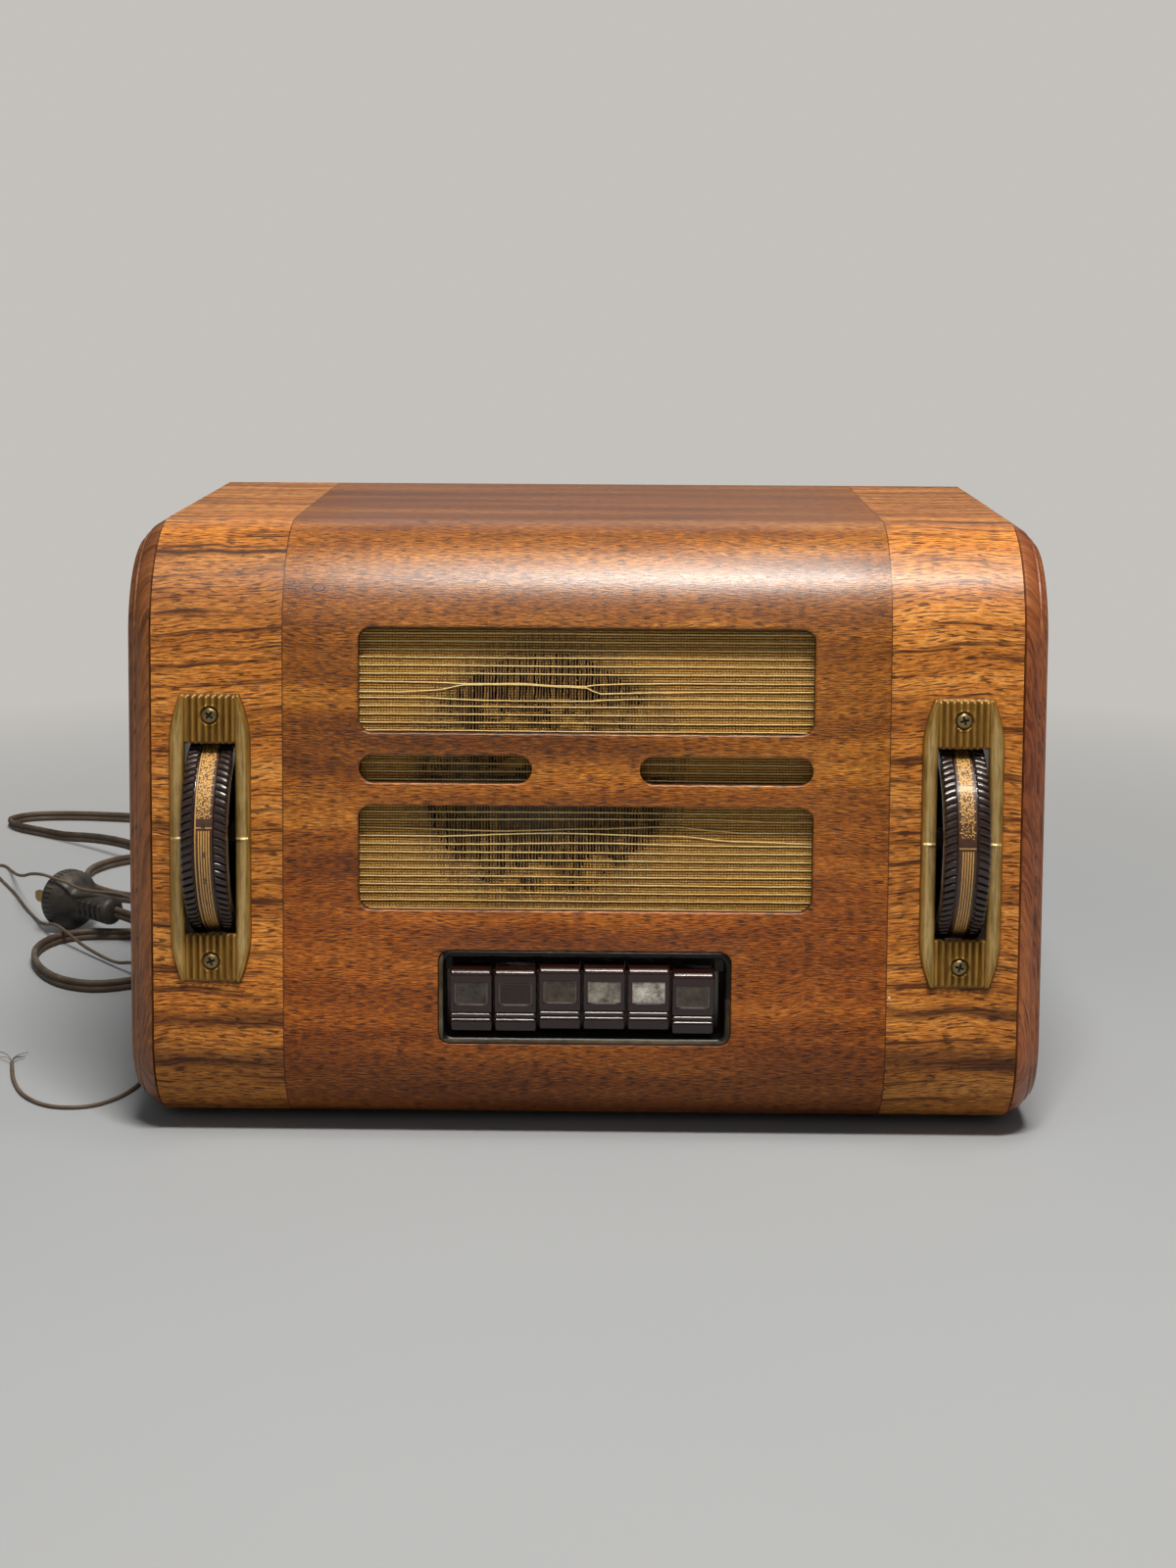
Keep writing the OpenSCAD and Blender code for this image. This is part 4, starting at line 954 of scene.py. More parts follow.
def veneer_finish():
    wires = Finish("front_veneer", {
        "Coat Roughness": 0.3, "Coat IOR": 1.55, "Specular IOR Level": 0.22})
    sheet = wires.unrolled("unrolled")
    across, up = wires.split(sheet)[0], wires.split(sheet)[1]
    inner = wires.group(WOOD_FIGURE, {
        "Vector": sheet, "Streaks": 5.0, "Line share": 0.15, "Fleck length": 22.0, "Fleck width": 225.0,
        "Wander": 0.10, "Pore share": 0.55})
    other = sheet + (7.0, 3.0, 0.0)
    outer = wires.group(WOOD_FIGURE, {
        "Vector": other, "Streaks": 7.0, "Line share": 0.07, "Fleck length": 19.0, "Fleck width": 120.0,
        "Wander": 0.14, "Pore share": 0.57})
    red = wires.ramp(inner["Figure"], (0.1, srgb(78, 34, 7)), (0.4, srgb(142, 72, 16)),
                     (0.7, srgb(192, 108, 32)), (0.95, srgb(230, 148, 60)))
    red = wires.mix(inner["Lines"] * 0.4, red, srgb(66, 28, 9))
    red = wires.mix(inner["Pores"] * 0.8, red, srgb(44, 18, 6))
    orange = wires.ramp(outer["Figure"], (0.08, srgb(134, 74, 22)), (0.38, srgb(190, 114, 40)),
                        (0.65, srgb(222, 142, 58)), (0.92, srgb(246, 176, 92)))
    orange = wires.mix(outer["Lines"] * 0.9, orange, srgb(66, 30, 9))
    orange = wires.mix(outer["Pores"] * 0.8, orange, srgb(62, 27, 8))
    distance = abs(across)
    ends = distance > seam_x
    colour = wires.mix(ends, red, orange)
    seam = abs(distance - seam_x) < 0.0025
    colour = wires.mix(seam * 0.75, colour, srgb(48, 22, 8))
    clouds = wires.noise(sheet * (0.8, 1.1, 1.0), 1.1, 3.0)
    shade = wires.between(clouds, 0.3, 0.7, 0.9, 1.12)
    # Darker towards the bottom bend and the lip: painted shade where the sheet turns down, away from the lamps
    # above.
    shade = shade * wires.between(up, -0.1, 0.55, 0.42, 1.0)
    colour = wires.mix(1.0, colour, wires.combine(shade, shade, shade), "MULTIPLY")
    # Lighter and greyer from the windows up, in the middle veneer: painted sheen of grazing light, with some
    # sun fading.
    painted_sheen_and_fading = wires.between(up, 1.0, 1.7) * (1.0 - ends)
    colour = wires.mix(painted_sheen_and_fading, colour, (1.03, 1.24, 1.22, 1.0), "MULTIPLY")
    on_top = wires.between(up, 2.6, 2.9, 0.0, 0.4) * (1.0 - ends)
    colour = wires.mix(on_top, colour, srgb(140, 78, 36))
    waver = (wires.noise(sheet, 3.0, 3.0) - 0.5) * 0.1
    # Dark figure bands, and painted shade over the left top bend.
    for at, half, depth, side in dark_figure_and_painted_shade:
        away = abs(up + waver - at)
        band = wires.between(away, half, half * 0.3) * depth
        kept = across * side > seam_x
        colour = wires.mix(band * kept, colour, srgb(58, 26, 10))
    for x, u, wide, high, tone, rim in small_marks:
        off = wires.length((sheet - (x, u, 0.0)) * (1 / wide, 1 / high, 1.0))
        colour = wires.mix(wires.between(off, 1.0, 0.85), colour, rim)
        colour = wires.mix(wires.between(off, 0.8, 0.6), colour, tone)
    gloss = wires.gloss(0.45, 0.2)
    rough = gloss["Roughness"] + wires.between(up, 0.1, 0.8, 0.3, 0.0)
    lacquer = wires.between(up, 0.0, 0.9, 0.08, 0.6) + wires.between(up, 1.7, 2.3, 0.0, 0.4)
    lacquer = lacquer * wires.between(gloss["Mottle"], 0.3, 0.7, 0.8, 1.1)
    lacquer = lacquer * wires.between(distance, 1.0, seam_x + 0.05, 1.0, 0.55)
    height = wires.of("ShaderNodeMix", {0: ends, 2: inner["Height"], 3: outer["Height"]})[0]
    return wires.end(colour, rough, wires.bump(height, 0.3, 0.0004), {
        "Coat Weight": lacquer, "Coat Normal": wires.bump(height, 0.12, 0.0003)})


def board_finish(name, colours, along, coat, grain, roughness=0.45):
    """Solid wood with its grain along one axis, given as the order in which x, y and z are read."""
    wires = Finish(name, {"Coat Weight": coat, "Coat Roughness": 0.2})
    parts = wires.split(wires.place)
    vector = wires.combine(*[parts[i] for i in along]) * (10.0, 10.0, 10.0)
    figure = wires.group(WOOD_FIGURE, {"Vector": vector, "Wander": 0.1, **grain})
    dark, middle, light, pore = colours
    colour = wires.ramp(figure["Figure"], (0.1, dark), (0.45, middle), (0.85, light))
    marks = wires.most(figure["Pores"] * 0.6, figure["Lines"] * 0.5)
    return wires.end(wires.mix(marks, colour, pore), wires.gloss(roughness, 0.25)["Roughness"],
                     wires.bump(figure["Height"], 0.3, 0.0004))


def ply_edge_finish():
    """The cut edge of plywood, in layers by its depth, stained dark."""
    wires = Finish("ply_edge", {"Roughness": 0.6})
    layer = wires.fract(wires.marked("ply_depth") * 2.5)
    fine = wires.noise(wires.place, 500.0, 3.0)
    colour = wires.mix(layer > 0.5, srgb(58, 32, 16), srgb(88, 54, 28))
    return wires.end(wires.mix(fine * 0.5, colour, srgb(36, 20, 10)), None, wires.bump(fine, 0.4, 0.0004))


front_veneer = veneer_finish()
ply_edge = ply_edge_finish()
bare_board_colours = (srgb(112, 80, 48), srgb(150, 112, 70), srgb(178, 142, 96), srgb(92, 62, 34))
inner_board = board_finish("bare_inner_wood", bare_board_colours, (0, 1, 2), 0.0,
                           {"Streaks": 6.0, "Fleck width": 80.0}, 0.75)
cheek_grain = {"Streaks": 7.0, "Fleck length": 10.0, "Fleck width": 150.0, "Pore share": 0.64}
cheek_left_wood = board_finish(
    "cheek_left_wood", (srgb(84, 44, 20), srgb(120, 70, 34), srgb(148, 92, 48), srgb(56, 28, 12)), (2, 1, 0),
    0.15, cheek_grain, 0.42)
cheek_right_wood = board_finish(
    "cheek_right_wood", (srgb(104, 48, 24), srgb(146, 80, 42), srgb(176, 106, 58), srgb(70, 32, 14)), (2, 1, 0),
    0.15, cheek_grain, 0.42)

# %% [markdown]
# ## The bent front
# The sheet is drawn flat with all its openings, as a veneer is cut, sliced by many lines where it will
# bend, and folded round the two bends, once for its outer and once for its inner side. A boolean on a
# solid bend would leave ragged faces; a folded sheet keeps its even mesh and its unrolled UV map.

# %% Where a place on the flat sheet comes to lie
u_face_low = (bottom_radius + bottom_radius * SIN) / COS
u_face_high = (cabinet_h - top_radius + top_radius * SIN) / COS
bend_low_angle = radians(90) + face_lean
bend_high_angle = radians(90) - face_lean
u_bend_low = u_face_low - bottom_radius * bend_low_angle
u_bend_high = u_face_high + top_radius * bend_high_angle
u_lip = u_bend_low - (lip_depth - bottom_bend.x)
u_floor_back = u_bend_low - (cabinet_d - bottom_bend.x)
u_back = u_bend_high + (cabinet_d - top_bend.x)


def outline_at(u):
    """The side outline at u along it: depth and height of the point, and the way that faces out."""
    if u < u_bend_low:
        return Vector((bottom_bend.x + u_bend_low - u, 0)), Vector((0, -1))
    if u < u_face_low:
        angle = radians(270) - (u - u_bend_low) / bottom_radius
        way = Vector((cos(angle), sin(angle)))
        return bottom_bend + way * bottom_radius, way
    if u <= u_face_high:
        return Vector((u * SIN, u * COS)), Vector((-COS, SIN))
    if u < u_bend_high:
        angle = radians(180) - face_lean - (u - u_face_high) / top_radius
        way = Vector((cos(angle), sin(angle)))
        return top_bend + way * top_radius, way
    return Vector((top_bend.x + u - u_bend_high, cabinet_h)), Vector((0, 1))


def folded(x, u, depth):
    point, way = outline_at(u)
    inside = point - way * depth
    return metres(x, front_y + inside.x, foot_h + inside.y)


# %% The openings in the front
window_w = 189.6
window_rise = 5.6
slot_band = 30.3
key_open_w = 122.6
key_open_h = 39.3
key_open_s = 60.6
window_top = u_face_high + window_rise
window_bottom = key_open_s + key_open_h / 2 + 17.0
window_h = (window_top - window_bottom - slot_band) / 2
speaker_s = (window_top + window_bottom) / 2
window_gap = window_h + slot_band
edge_round = 0.9
front_openings = [
    (0.0, speaker_s + window_gap / 2, window_w, window_h, 5.5),
    (0.0, speaker_s - window_gap / 2, window_w, window_h, 5.5),
    (-58.5, speaker_s, 72.0, 11.5, 5.74),
    (58.5, speaker_s, 72.0, 11.5, 5.74),
    (-wheel_x, wheel_s, 23.0, 85.5, 2.0),
    (wheel_x, wheel_s, 23.0, 85.5, 2.0),
    (0.0, key_open_s, key_open_w, key_open_h, 5.0)]


def opening_outline(opening, grown, per_corner=8):
    x, s, wide, high, corner = opening
    points = []
    for quarter in range(4):
        sx = (1, -1, -1, 1)[quarter]
        sy = (1, 1, -1, -1)[quarter]
        for i in range(per_corner + 1):
            angle = radians(90 * quarter + 90 * i / per_corner)
            points.append((x + sx * (wide / 2 - corner) + (corner + grown) * cos(angle),
                           s + sy * (high / 2 - corner) + (corner + grown) * sin(angle)))
    return points


def moved_in(opening, x, u, grown):
    """The point of an opening's edge nearest to (x, u), with the opening grown by so much."""
    cx, cs, wide, high, corner = opening
    half = (wide / 2 - corner, high / 2 - corner)
    core = Vector((min(max(x - cx, -half[0]), half[0]), min(max(u - cs, -half[1]), half[1])))
    way = Vector((x - cx, u - cs)) - core
    core = core + way.normalized() * (corner + grown)
    return cx + core.x, cs + core.y


# %% Cut flat, slice, fold
def flat_sheet():
    bm = bmesh.new()
    border = [(-shell_half, u_lip), (shell_half, u_lip), (shell_half, u_back), (-shell_half, u_back)]
    edges = []
    for loop in [border] + [opening_outline(o, edge_round) for o in front_openings]:
        verts = [bm.verts.new((x, u, 0)) for x, u in loop]
        edges += [bm.edges.new((a, b)) for a, b in zip(verts, verts[1:] + verts[:1])]
    bmesh.ops.triangle_fill(bm, edges=edges, use_beauty=True)
    lines = [u_bend_low + (u_face_low - u_bend_low) * i / 26 for i in range(27)]
    lines += [u_face_high + (u_bend_high - u_face_high) * i / 32 for i in range(33)]
    for u in lines:
        bmesh.ops.bisect_plane(bm, geom=bm.verts[:] + bm.edges[:] + bm.faces[:],
                               plane_co=(0, u, 0), plane_no=(0, 1, 0), dist=0.0001)
    bm.normal_update()
    for face in bm.faces:
        if face.normal.z < 0:
            face.normal_flip()
    return bm


def opening_of(x, u):
    """The opening whose grown edge this point lies on, or None for the sheet's border."""
    for opening in front_openings:
        near = moved_in(opening, x, u, edge_round)
        if hypot(near[0] - x, near[1] - u) < 0.02:
            return opening
    return None


def make_front():
    flat = flat_sheet()
    flat.verts.ensure_lookup_table()
    flat.verts.index_update()
    rim = {v.index: opening_of(v.co.x, v.co.y) for v in flat.verts if v.is_boundary}
    bm = bmesh.new()
    unrolled = bm.loops.layers.uv.new("unrolled")
    depth_layer = bm.verts.layers.float.new("ply_depth")
    drawn = {}

    def vert(x, u, depth):
        made = bm.verts.new(folded(x, u, depth))
        made[depth_layer] = depth / wrap_wall
        drawn[made] = (x, u)
        return made

    columns = {}
    for v in flat.verts:
        x, u = v.co.x, v.co.y
        opening = rim.get(v.index)
        column = [vert(x, u, 0)]
        if opening:
            for k in range(1, 5):
                angle = radians(90 * k / 4)
                px, pu = moved_in(opening, x, u, edge_round * (1 - sin(angle)))
                column.append(vert(px, pu, edge_round * (1 - cos(angle))))
            x, u = moved_in(opening, x, u, 0)
        column.append(vert(x, u, wrap_wall))
        columns[v.index] = column
    for face in flat.faces:
        index = [v.index for v in face.verts]
        bm.faces.new([columns[i][0] for i in index])
        bm.faces.new([columns[i][-1] for i in reversed(index)]).material_index = 2
    for edge in flat.edges:
        if edge.is_boundary:
            a, b = (columns[v.index] for v in edge.verts)
            for k in range(min(len(a), len(b)) - 1):
                wall = bm.faces.new((a[k], a[k + 1], b[k + 1], b[k]))
                wall.material_index = 0 if k < len(a) - 2 else 1
    flat.free()
    for face in bm.faces:
        for loop in face.loops:
            x, u = drawn[loop.vert]
            loop[unrolled].uv = (x / 100, u / 100)
    return close_piece("bent_front", bm, [front_veneer, ply_edge, inner_board], "mahogany_front",
                       "cabinet_wrap", sharp=38)


make_front()

# %% [markdown]
# ## The moulded cheeks
# Each end of the cabinet is a solid board with a moulded edge that follows the front: a fine gap beside
# the plywood, a broad flat bead, a cove and a small round. The moulding is a section run along the side
# outline, as a router would cut it.

# %% Cheeks
cheek_section = [
    (-6, 6.15), (0, 6.15), (0, 3.2), (0.5, 3.2), (0.75, 2.2), (1.2, 1.6), (2, 1.7), (3.5, 2.2),
    (5, 3.1), (6.2, 3.9), (6.9, 4.6), (7.2, 5.2), (7.35, 6), (7.7, 6.2), (8.3, 6.2), (8.9, 6.7),
    (9.3, 7.4), (9.45, 8.1), (9.7, 8.4), (10.3, 8.6), (10.9, 9.2), (11.4, 10.2), (11.65, 11.4), (11.7, 12.6)]


def cheek_stations():
    low = [u_bend_low + (u_face_low - u_bend_low) * i / 24 for i in range(25)]
    high = [u_face_high + (u_bend_high - u_face_high) * i / 30 for i in range(31)]
    return [u_floor_back] + low + high + [u_back]


def make_cheek(name, side, finish, node):
    bm = bmesh.new()
    rows = [[folded(side * (shell_half + across), u, inset) for across, inset in cheek_section]
            for u in cheek_stations()]
    verts = add_rows(bm, rows, ring=False)
    bm.faces.new([row[0] for row in verts])
    bm.faces.new([row[-1] for row in verts])
    bm.faces.new(verts[0] + verts[-1][::-1])
    return close_piece(name, bm, [finish], "cheek_wood", node, sharp=28)


make_cheek("left_cheek", -1, cheek_left_wood, "side_left")
make_cheek("right_cheek", 1, cheek_right_wood, "side_right")

# %% [markdown]
# ## The bronze plates
# A plate frames each wheel: two long rounded rails, and at each end a block of eight flutes with a screw
# sunk in its middle. It could be carved from solids, but it is a low relief, so it is a fine grid with a
# height for every point. The same height tells the finish where fingers have rubbed the bronze bright.

# %% Relief of a plate
plate_half_w = 17.0
plate_half_h = 60.5
plate_end_half = 12.35
plate_open_half = 10.5
plate_open_end = 39.75
plate_taper = 21.0
flute_pitch = 2.8
screw_gap = 103.0
recess_r = 4.0
plate_top = 2.8


def ease(value, low, high):
    t = min(max((value - low) / (high - low), 0.0), 1.0)
    return t * t * (3 - 2 * t)


def plate_width(s):
    """Half the width of the plate at s from its middle: full along the rails, bowed in at the ends."""
    t = max(abs(s) - (plate_half_h - plate_taper), 0) / plate_taper
    return plate_half_w - (plate_half_w - plate_end_half) * t ** 1.9


def plate_relief(x, s):
    across, along = abs(x), abs(s)
    edge = plate_width(s) - across
    end = plate_half_h - along
    if across > plate_open_half:
        middle = (plate_width(s) + plate_open_half) / 2
        half = max(middle - plate_open_half, 0.3)
        crown = sqrt(max(1 - ((across - middle) / (half * 1.12)) ** 2, 0.0))
        height = 0.9 + 1.9 * crown * (0.55 + 0.45 * min(half / 3.2, 1))
        height -= 0.35 * exp(-((edge - 1.7) / 0.22) ** 2)
        height += 0.55 * exp(-(s / 0.55) ** 2)
    else:
        wave = 0.5 + 0.5 * cos(2 * pi * (across - flute_pitch / 2) / flute_pitch)
        tips = ease(along, plate_open_end, plate_open_end + 1.0) * ease(end, 0.3, 1.8)
        height = 0.85 + 1.35 * wave ** 0.8 * tips
        away = hypot(x, along - screw_gap / 2)
        height += (0.55 - height) * (1 - ease(away, recess_r - 0.5, recess_r))
        height += 0.4 * exp(-((away - recess_r - 0.25) / 0.3) ** 2)
    return max(height * (0.35 + 0.65 * ease(end, 0, 0.8)) * (0.4 + 0.6 * ease(edge, 0, 0.7)), 0.25)


def plate_columns(s):
    inner = [plate_open_half * i / 30 for i in range(-30, 31)]
    reach = plate_width(s) - plate_open_half
    outer = [plate_open_half + reach * t / 12 for t in range(1, 13)]
    return [-v for v in reversed(outer)] + inner + outer


def plate_rows():
    ends = [plate_open_end + (plate_half_h - plate_open_end) * i / 46 for i in range(47)]
    rails = [-39 + 2 * i for i in range(20) if abs(-39 + 2 * i) > 2] + [0.3 * i for i in range(-5, 6)]
    return sorted([-s for s in ends] + rails + ends)


def make_plate(name, side, node):
    bm = bmesh.new()
    rise = bm.verts.layers.float.new("rise")
    rows = plate_rows()
    grid = []
    for s in rows:
        line = []
        for x in plate_columns(s):
            height = plate_relief(x, s)
            vert = bm.verts.new(on_face(side * wheel_x + x, wheel_s + s, height))
            vert[rise] = height / plate_top
            line.append(vert)
        grid.append(line)
    for r in range(len(rows) - 1):
        beside = abs(rows[r] + rows[r + 1]) / 2 < plate_open_end
        for c, x in enumerate(plate_columns(rows[r])[:-1]):
            if not (beside and abs(x + 0.1) < plate_open_half):
                bm.faces.new((grid[r][c], grid[r][c + 1], grid[r + 1][c + 1], grid[r + 1][c]))
    rim = [edge for edge in bm.edges if edge.is_boundary]
    walls = bmesh.ops.extrude_edge_only(bm, edges=rim)["geom"]
    for vert in [g for g in walls if isinstance(g, bmesh.types.BMVert)]:
        depth = vert.co - on_face(side * wheel_x, wheel_s, 0)
        vert.co -= facing * depth.dot(facing)
        vert[rise] = 0.3
    bmesh.ops.delete(bm, geom=[v for v in bm.verts if not v.link_faces], context="VERTS")
    return close_piece(name, bm, [old_bronze], "old_bronze", node, sharp=50, outward=False)


def bronze_finish():
    wires = Finish("old_bronze", {"Metallic": 0.5, "Specular IOR Level": 0.5})
    gloss = wires.gloss(0.42, 0.25)
    worn = gloss["Mottle"] * 0.5 + (wires.marked("rise") - 0.38)
    colour = wires.ramp(worn, (0.02, srgb(92, 64, 24)), (0.3, srgb(150, 110, 46)),
                        (0.7, srgb(178, 138, 66)), (1.0, srgb(226, 196, 136)))
    streaks = wires.noise(wires.place * (900.0, 300.0, 60.0), 1.0, 3.0, 0.65)
    colour = wires.mix(wires.between(streaks, 0.45, 0.7, 0.0, 0.55), colour, srgb(60, 42, 14))
    fine = wires.noise(wires.place, 900.0, 3.0)
    return wires.end(colour, gloss["Roughness"], wires.bump(fine, 0.12, 0.0003))


old_bronze = bronze_finish()
make_plate("left_plate", -1, "plate_left")
make_plate("right_plate", 1, "plate_right")

# %% [markdown]
# Each screw has a low round head with a cross cut into it: a square grid that is pulled round into a
# disc, so that the lines of the cross stay straight, and lowered where the cross is.

# %% Plate screws
screw_r = 3.1
cross_half = 0.42
cross_reach = 1.75
head_sink = 0.8


def add_screw(bm, side, end):
    """One screw head with its shank, in the plate at side and end, each -1 or 1."""
    cells = 36
    turn = radians(20 + 55 * (side > 0) + 30 * (end > 0))

    def on_plate(along, across, up):
        return on_face(side * wheel_x + across, wheel_s + end * screw_gap / 2 + up, along)

    grid = []
    for i in range(cells + 1):
        line = []
        for k in range(cells + 1):
            a, b = 2 * i / cells - 1, 2 * k / cells - 1
            px, py = screw_r * a * sqrt(1 - b * b / 2), screw_r * b * sqrt(1 - a * a / 2)
            away = hypot(px, py) / screw_r
            rise = 1.0 + 1.35 * sqrt(max(1 - (away * 0.96) ** 2, 0))
            arm = min(max(abs(px), abs(py)) / cross_reach, 1)
            if min(abs(px), abs(py)) < cross_half and arm < 1:
                rise -= 0.95 * (1 - 0.5 * arm)
            x, y = px * cos(turn) - py * sin(turn), px * sin(turn) + py * cos(turn)
            line.append(bm.verts.new(on_plate(rise, x, y)))
        grid.append(line)
    for i in range(cells):
        for k in range(cells):
            made = bm.faces.new((grid[i][k], grid[i + 1][k], grid[i + 1][k + 1], grid[i][k + 1]))
            arms = [abs(2 * (n + 0.5) / cells - 1) * screw_r for n in (i, k)]
            # The faces of the cross take the second finish, near-black.
            made.material_index = 1 if min(arms) < cross_half * 1.2 and max(arms) < cross_reach else 0
    rim = [line[0] for line in grid[:-1]] + grid[-1][:-1]
    rim += [line[-1] for line in grid[:0:-1]] + grid[0][:0:-1]
    foot = [bm.verts.new(vert.co - facing * head_sink * MM) for vert in rim]
    for n in range(len(rim)):
        k = (n + 1) % len(rim)
        bm.faces.new((rim[n], rim[k], foot[k], foot[n]))
    bm.faces.new(foot)
    add_turning(bm, [(0.7, 1.5), (-5, 1.5), (-6, 0.01)], on_plate, 16)


def make_screws():
    bm = bmesh.new()
    for side in (-1, 1):
        for end in (-1, 1):
            add_screw(bm, side, end)
    return close_piece("plate_screw_heads", bm, [dark_screw, screw_dirt], "old_bronze", "plate_screws",
                       sharp=40)


def metal_finish(name, dark, light, roughness, metallic=1.0, dusty=0.3):
    wires = Finish(name, {"Metallic": metallic})
    gloss, dust = wires.gloss(roughness, 0.3), wires.dust(dusty)
    colour = wires.mix(dust["Dust"], wires.mix(gloss["Mottle"], dark, light), srgb(140, 132, 120))
    rough = dust["Dust"] * 0.3 + gloss["Roughness"]
    return wires.end(colour, rough, wires.bump(wires.noise(wires.place, 400.0, 3.0), 0.15, 0.0003))


dark_screw = metal_finish("dark_screw", srgb(84, 70, 44), srgb(172, 150, 104), 0.35, 0.7, 0.0)
# The cross recess is painted near-black.
screw_dirt = metal_finish("screw_dirt", srgb(12, 9, 6), srgb(32, 25, 16), 0.8, 0.0, 0.0)
make_screws()

# %% [markdown]
# ## The thumbwheels
# A wheel is two moulded flanges with a printed strip between them. Eighty ribs on each flange, leaning a
# little, give the thumb its hold. The body is a turning, and one rib is modelled and then laid out round
# the wheel by the ring tree.

# %% Wheel bodies and ribs
rib_count = 80
flange_r = 42.3
print("rib pitch", round(2 * pi * wheel_r / rib_count, 2), "mm")


def moulded_finish(name, dark, light, roughness, coat=0.3, dusty=0.2):
    wires = Finish(name, {"Coat Weight": coat, "Coat Roughness": 0.12, "Specular IOR Level": 0.5})
    gloss, dust = wires.gloss(roughness, 0.22), wires.dust(dusty)
    colour = wires.mix(dust["Dust"], wires.mix(gloss["Mottle"], dark, light), srgb(118, 106, 94))
    colour = wires.mix(dust["Specks"], colour, srgb(170, 160, 146))
    rough = dust["Dust"] * 0.35 + gloss["Roughness"]
    return wires.end(colour, rough, wires.bump(gloss["Mottle"], 0.08, 0.0004))


wheel_brown = moulded_finish("wheel_brown", srgb(24, 12, 8), srgb(50, 27, 18), 0.3, 0.4, 0.06)


def rib_form():
    """One rib, standing on the flange at the top of the wheel, for the flange on the right."""
    pitch = 2 * pi * wheel_r / rib_count
    bm = bmesh.new()
    rows = []
    for i in range(9):
        t = i / 8
        x = band_half + 0.25 + t * 5.2
        end = min(t, 1 - t) * 8
        crown = 0.35 + 0.65 * sqrt(min(end, 1.0)) if end < 1 else 1.0
        top = flange_r + 1.1 * crown - 0.9 * max(t - 0.45, 0) ** 1.5
        lean = pitch * (0.32 * t + 0.25 * t * t)
        section = [(-0.46, -1.2), (-0.42, -0.55), (-0.30, -0.12), (-0.05, 0), (0.22, -0.1),
                   (0.38, -0.45), (0.44, -0.9), (0.46, -1.2)]
        rows.append([metres(x, -a * pitch - lean, top + b) for a, b in section])
    add_tube(bm, rows)
    return form_of(bm)


def make_wheel(name, side, node, body):
    centre = hub(side)
    bm = bmesh.new()
    rim = [(3.95, 41.5), (4, 42.2), (4.5, 42.3), (8.4, 42), (9.1, 41.5), (9.45, 40.6), (9.5, 37.2),
           (9.2, 36.6), (2.2, 36.2), (1.5, 35.6), (1.5, 9.2), (2.2, 8.4), (9.1, 8), (9.5, 7.6), (9.5, 3.05)]
    profile = [(-a, r) for a, r in rim] + [(a, r) for a, r in reversed(rim)]
    rows = []
    for i in range(144):
        angle = 2 * pi * i / 144
        rows.append([(centre + Vector((a, r * sin(angle), r * cos(angle)))) * MM
                     for a, r in profile])
    add_rows(bm, rows + rows[:1])
    values = {"Count": rib_count, "Axis": (1.0, 0.0, 0.0), "Centre": centre * MM, "Finish": wheel_brown}
    right = grow(rib_form(), RING_OF_COPIES, values)
    left = right.copy()
    shift = Matrix.Translation(centre * MM)
    left.transform(shift @ Matrix.Diagonal((-1, 1, 1, 1)) @ shift.inverted())
    bm.from_mesh(right)
    bm.from_mesh(left)
    return close_piece(name, bm, [wheel_brown], "brown_bakelite", node, body=body, sharp=36)


make_wheel("left_thumbwheel", -1, "volume_wheel", "volume")
make_wheel("right_thumbwheel", 1, "tuning_wheel", "tuning")

# %% [markdown]
# ## The printed strips
# A strip of brown card lies between the flanges, printed in gold: fine lines below the index, a scale
# above it, worn where it has rubbed. A picture could carry the print, but nodes keep it sharp. It is laid
# out on the strip's own UV map, u round the wheel and v across it, in centimetres.

# %% Strip finish and strips
strip_r = 42.35
strip_half = 3.75


def strip_finish(name, line_top, marks_from, worn_from, edge_line):
    """Gold print on brown card. Heights round the wheel are in centimetres above its foremost line."""
    wires = Finish(name, {"Coat Weight": 0.25, "Coat Roughness": 0.2})
    place = wires.unrolled("strip")
    parts = wires.split(place)
    up, across = parts[0], parts[1]
    away = abs(across)
    wave = wires.fract(across * 9.5 + 0.25)
    lines = (abs(wave - 0.5) < 0.27) * (away < 0.263) * (up < line_top)
    bar = (abs(up - (line_top + 0.13)) < 0.022) * (away < 0.35)
    step = wires.fract(up / 0.45)
    marks = (abs(step - 0.5) < 0.055) * (away > 0.24) * (away < 0.335) * (up > marks_from)
    grit = wires.noise(place, 13.0, 2.0, 0.6)
    cover = wires.between(up, worn_from, worn_from + 1.6, 0.44, 0.53)
    print_patch = (grit < cover) * (away < 0.27) * (up > line_top + 0.5)
    gold = wires.most(lines, bar, marks, print_patch)
    if edge_line:
        pale = abs(across + 0.33) < 0.03
        gold = wires.most(gold, pale * 0.8)
    worn = wires.between(wires.noise(place, 30.0, 3.0, 0.7), 0.3, 0.42, 0.55, 1.0)
    gold = gold * worn
    tone = wires.noise(place, 6.0, 3.0)
    card = wires.mix(tone, srgb(46, 24, 14), srgb(92, 54, 28))
    leaf = wires.mix(tone, srgb(190, 134, 60), srgb(240, 194, 112))
    return wires.end(wires.mix(gold, card, leaf), wires.between(gold, 0.0, 1.0, 0.5, 0.6), None,
                     {"Metallic": gold * 0.15})


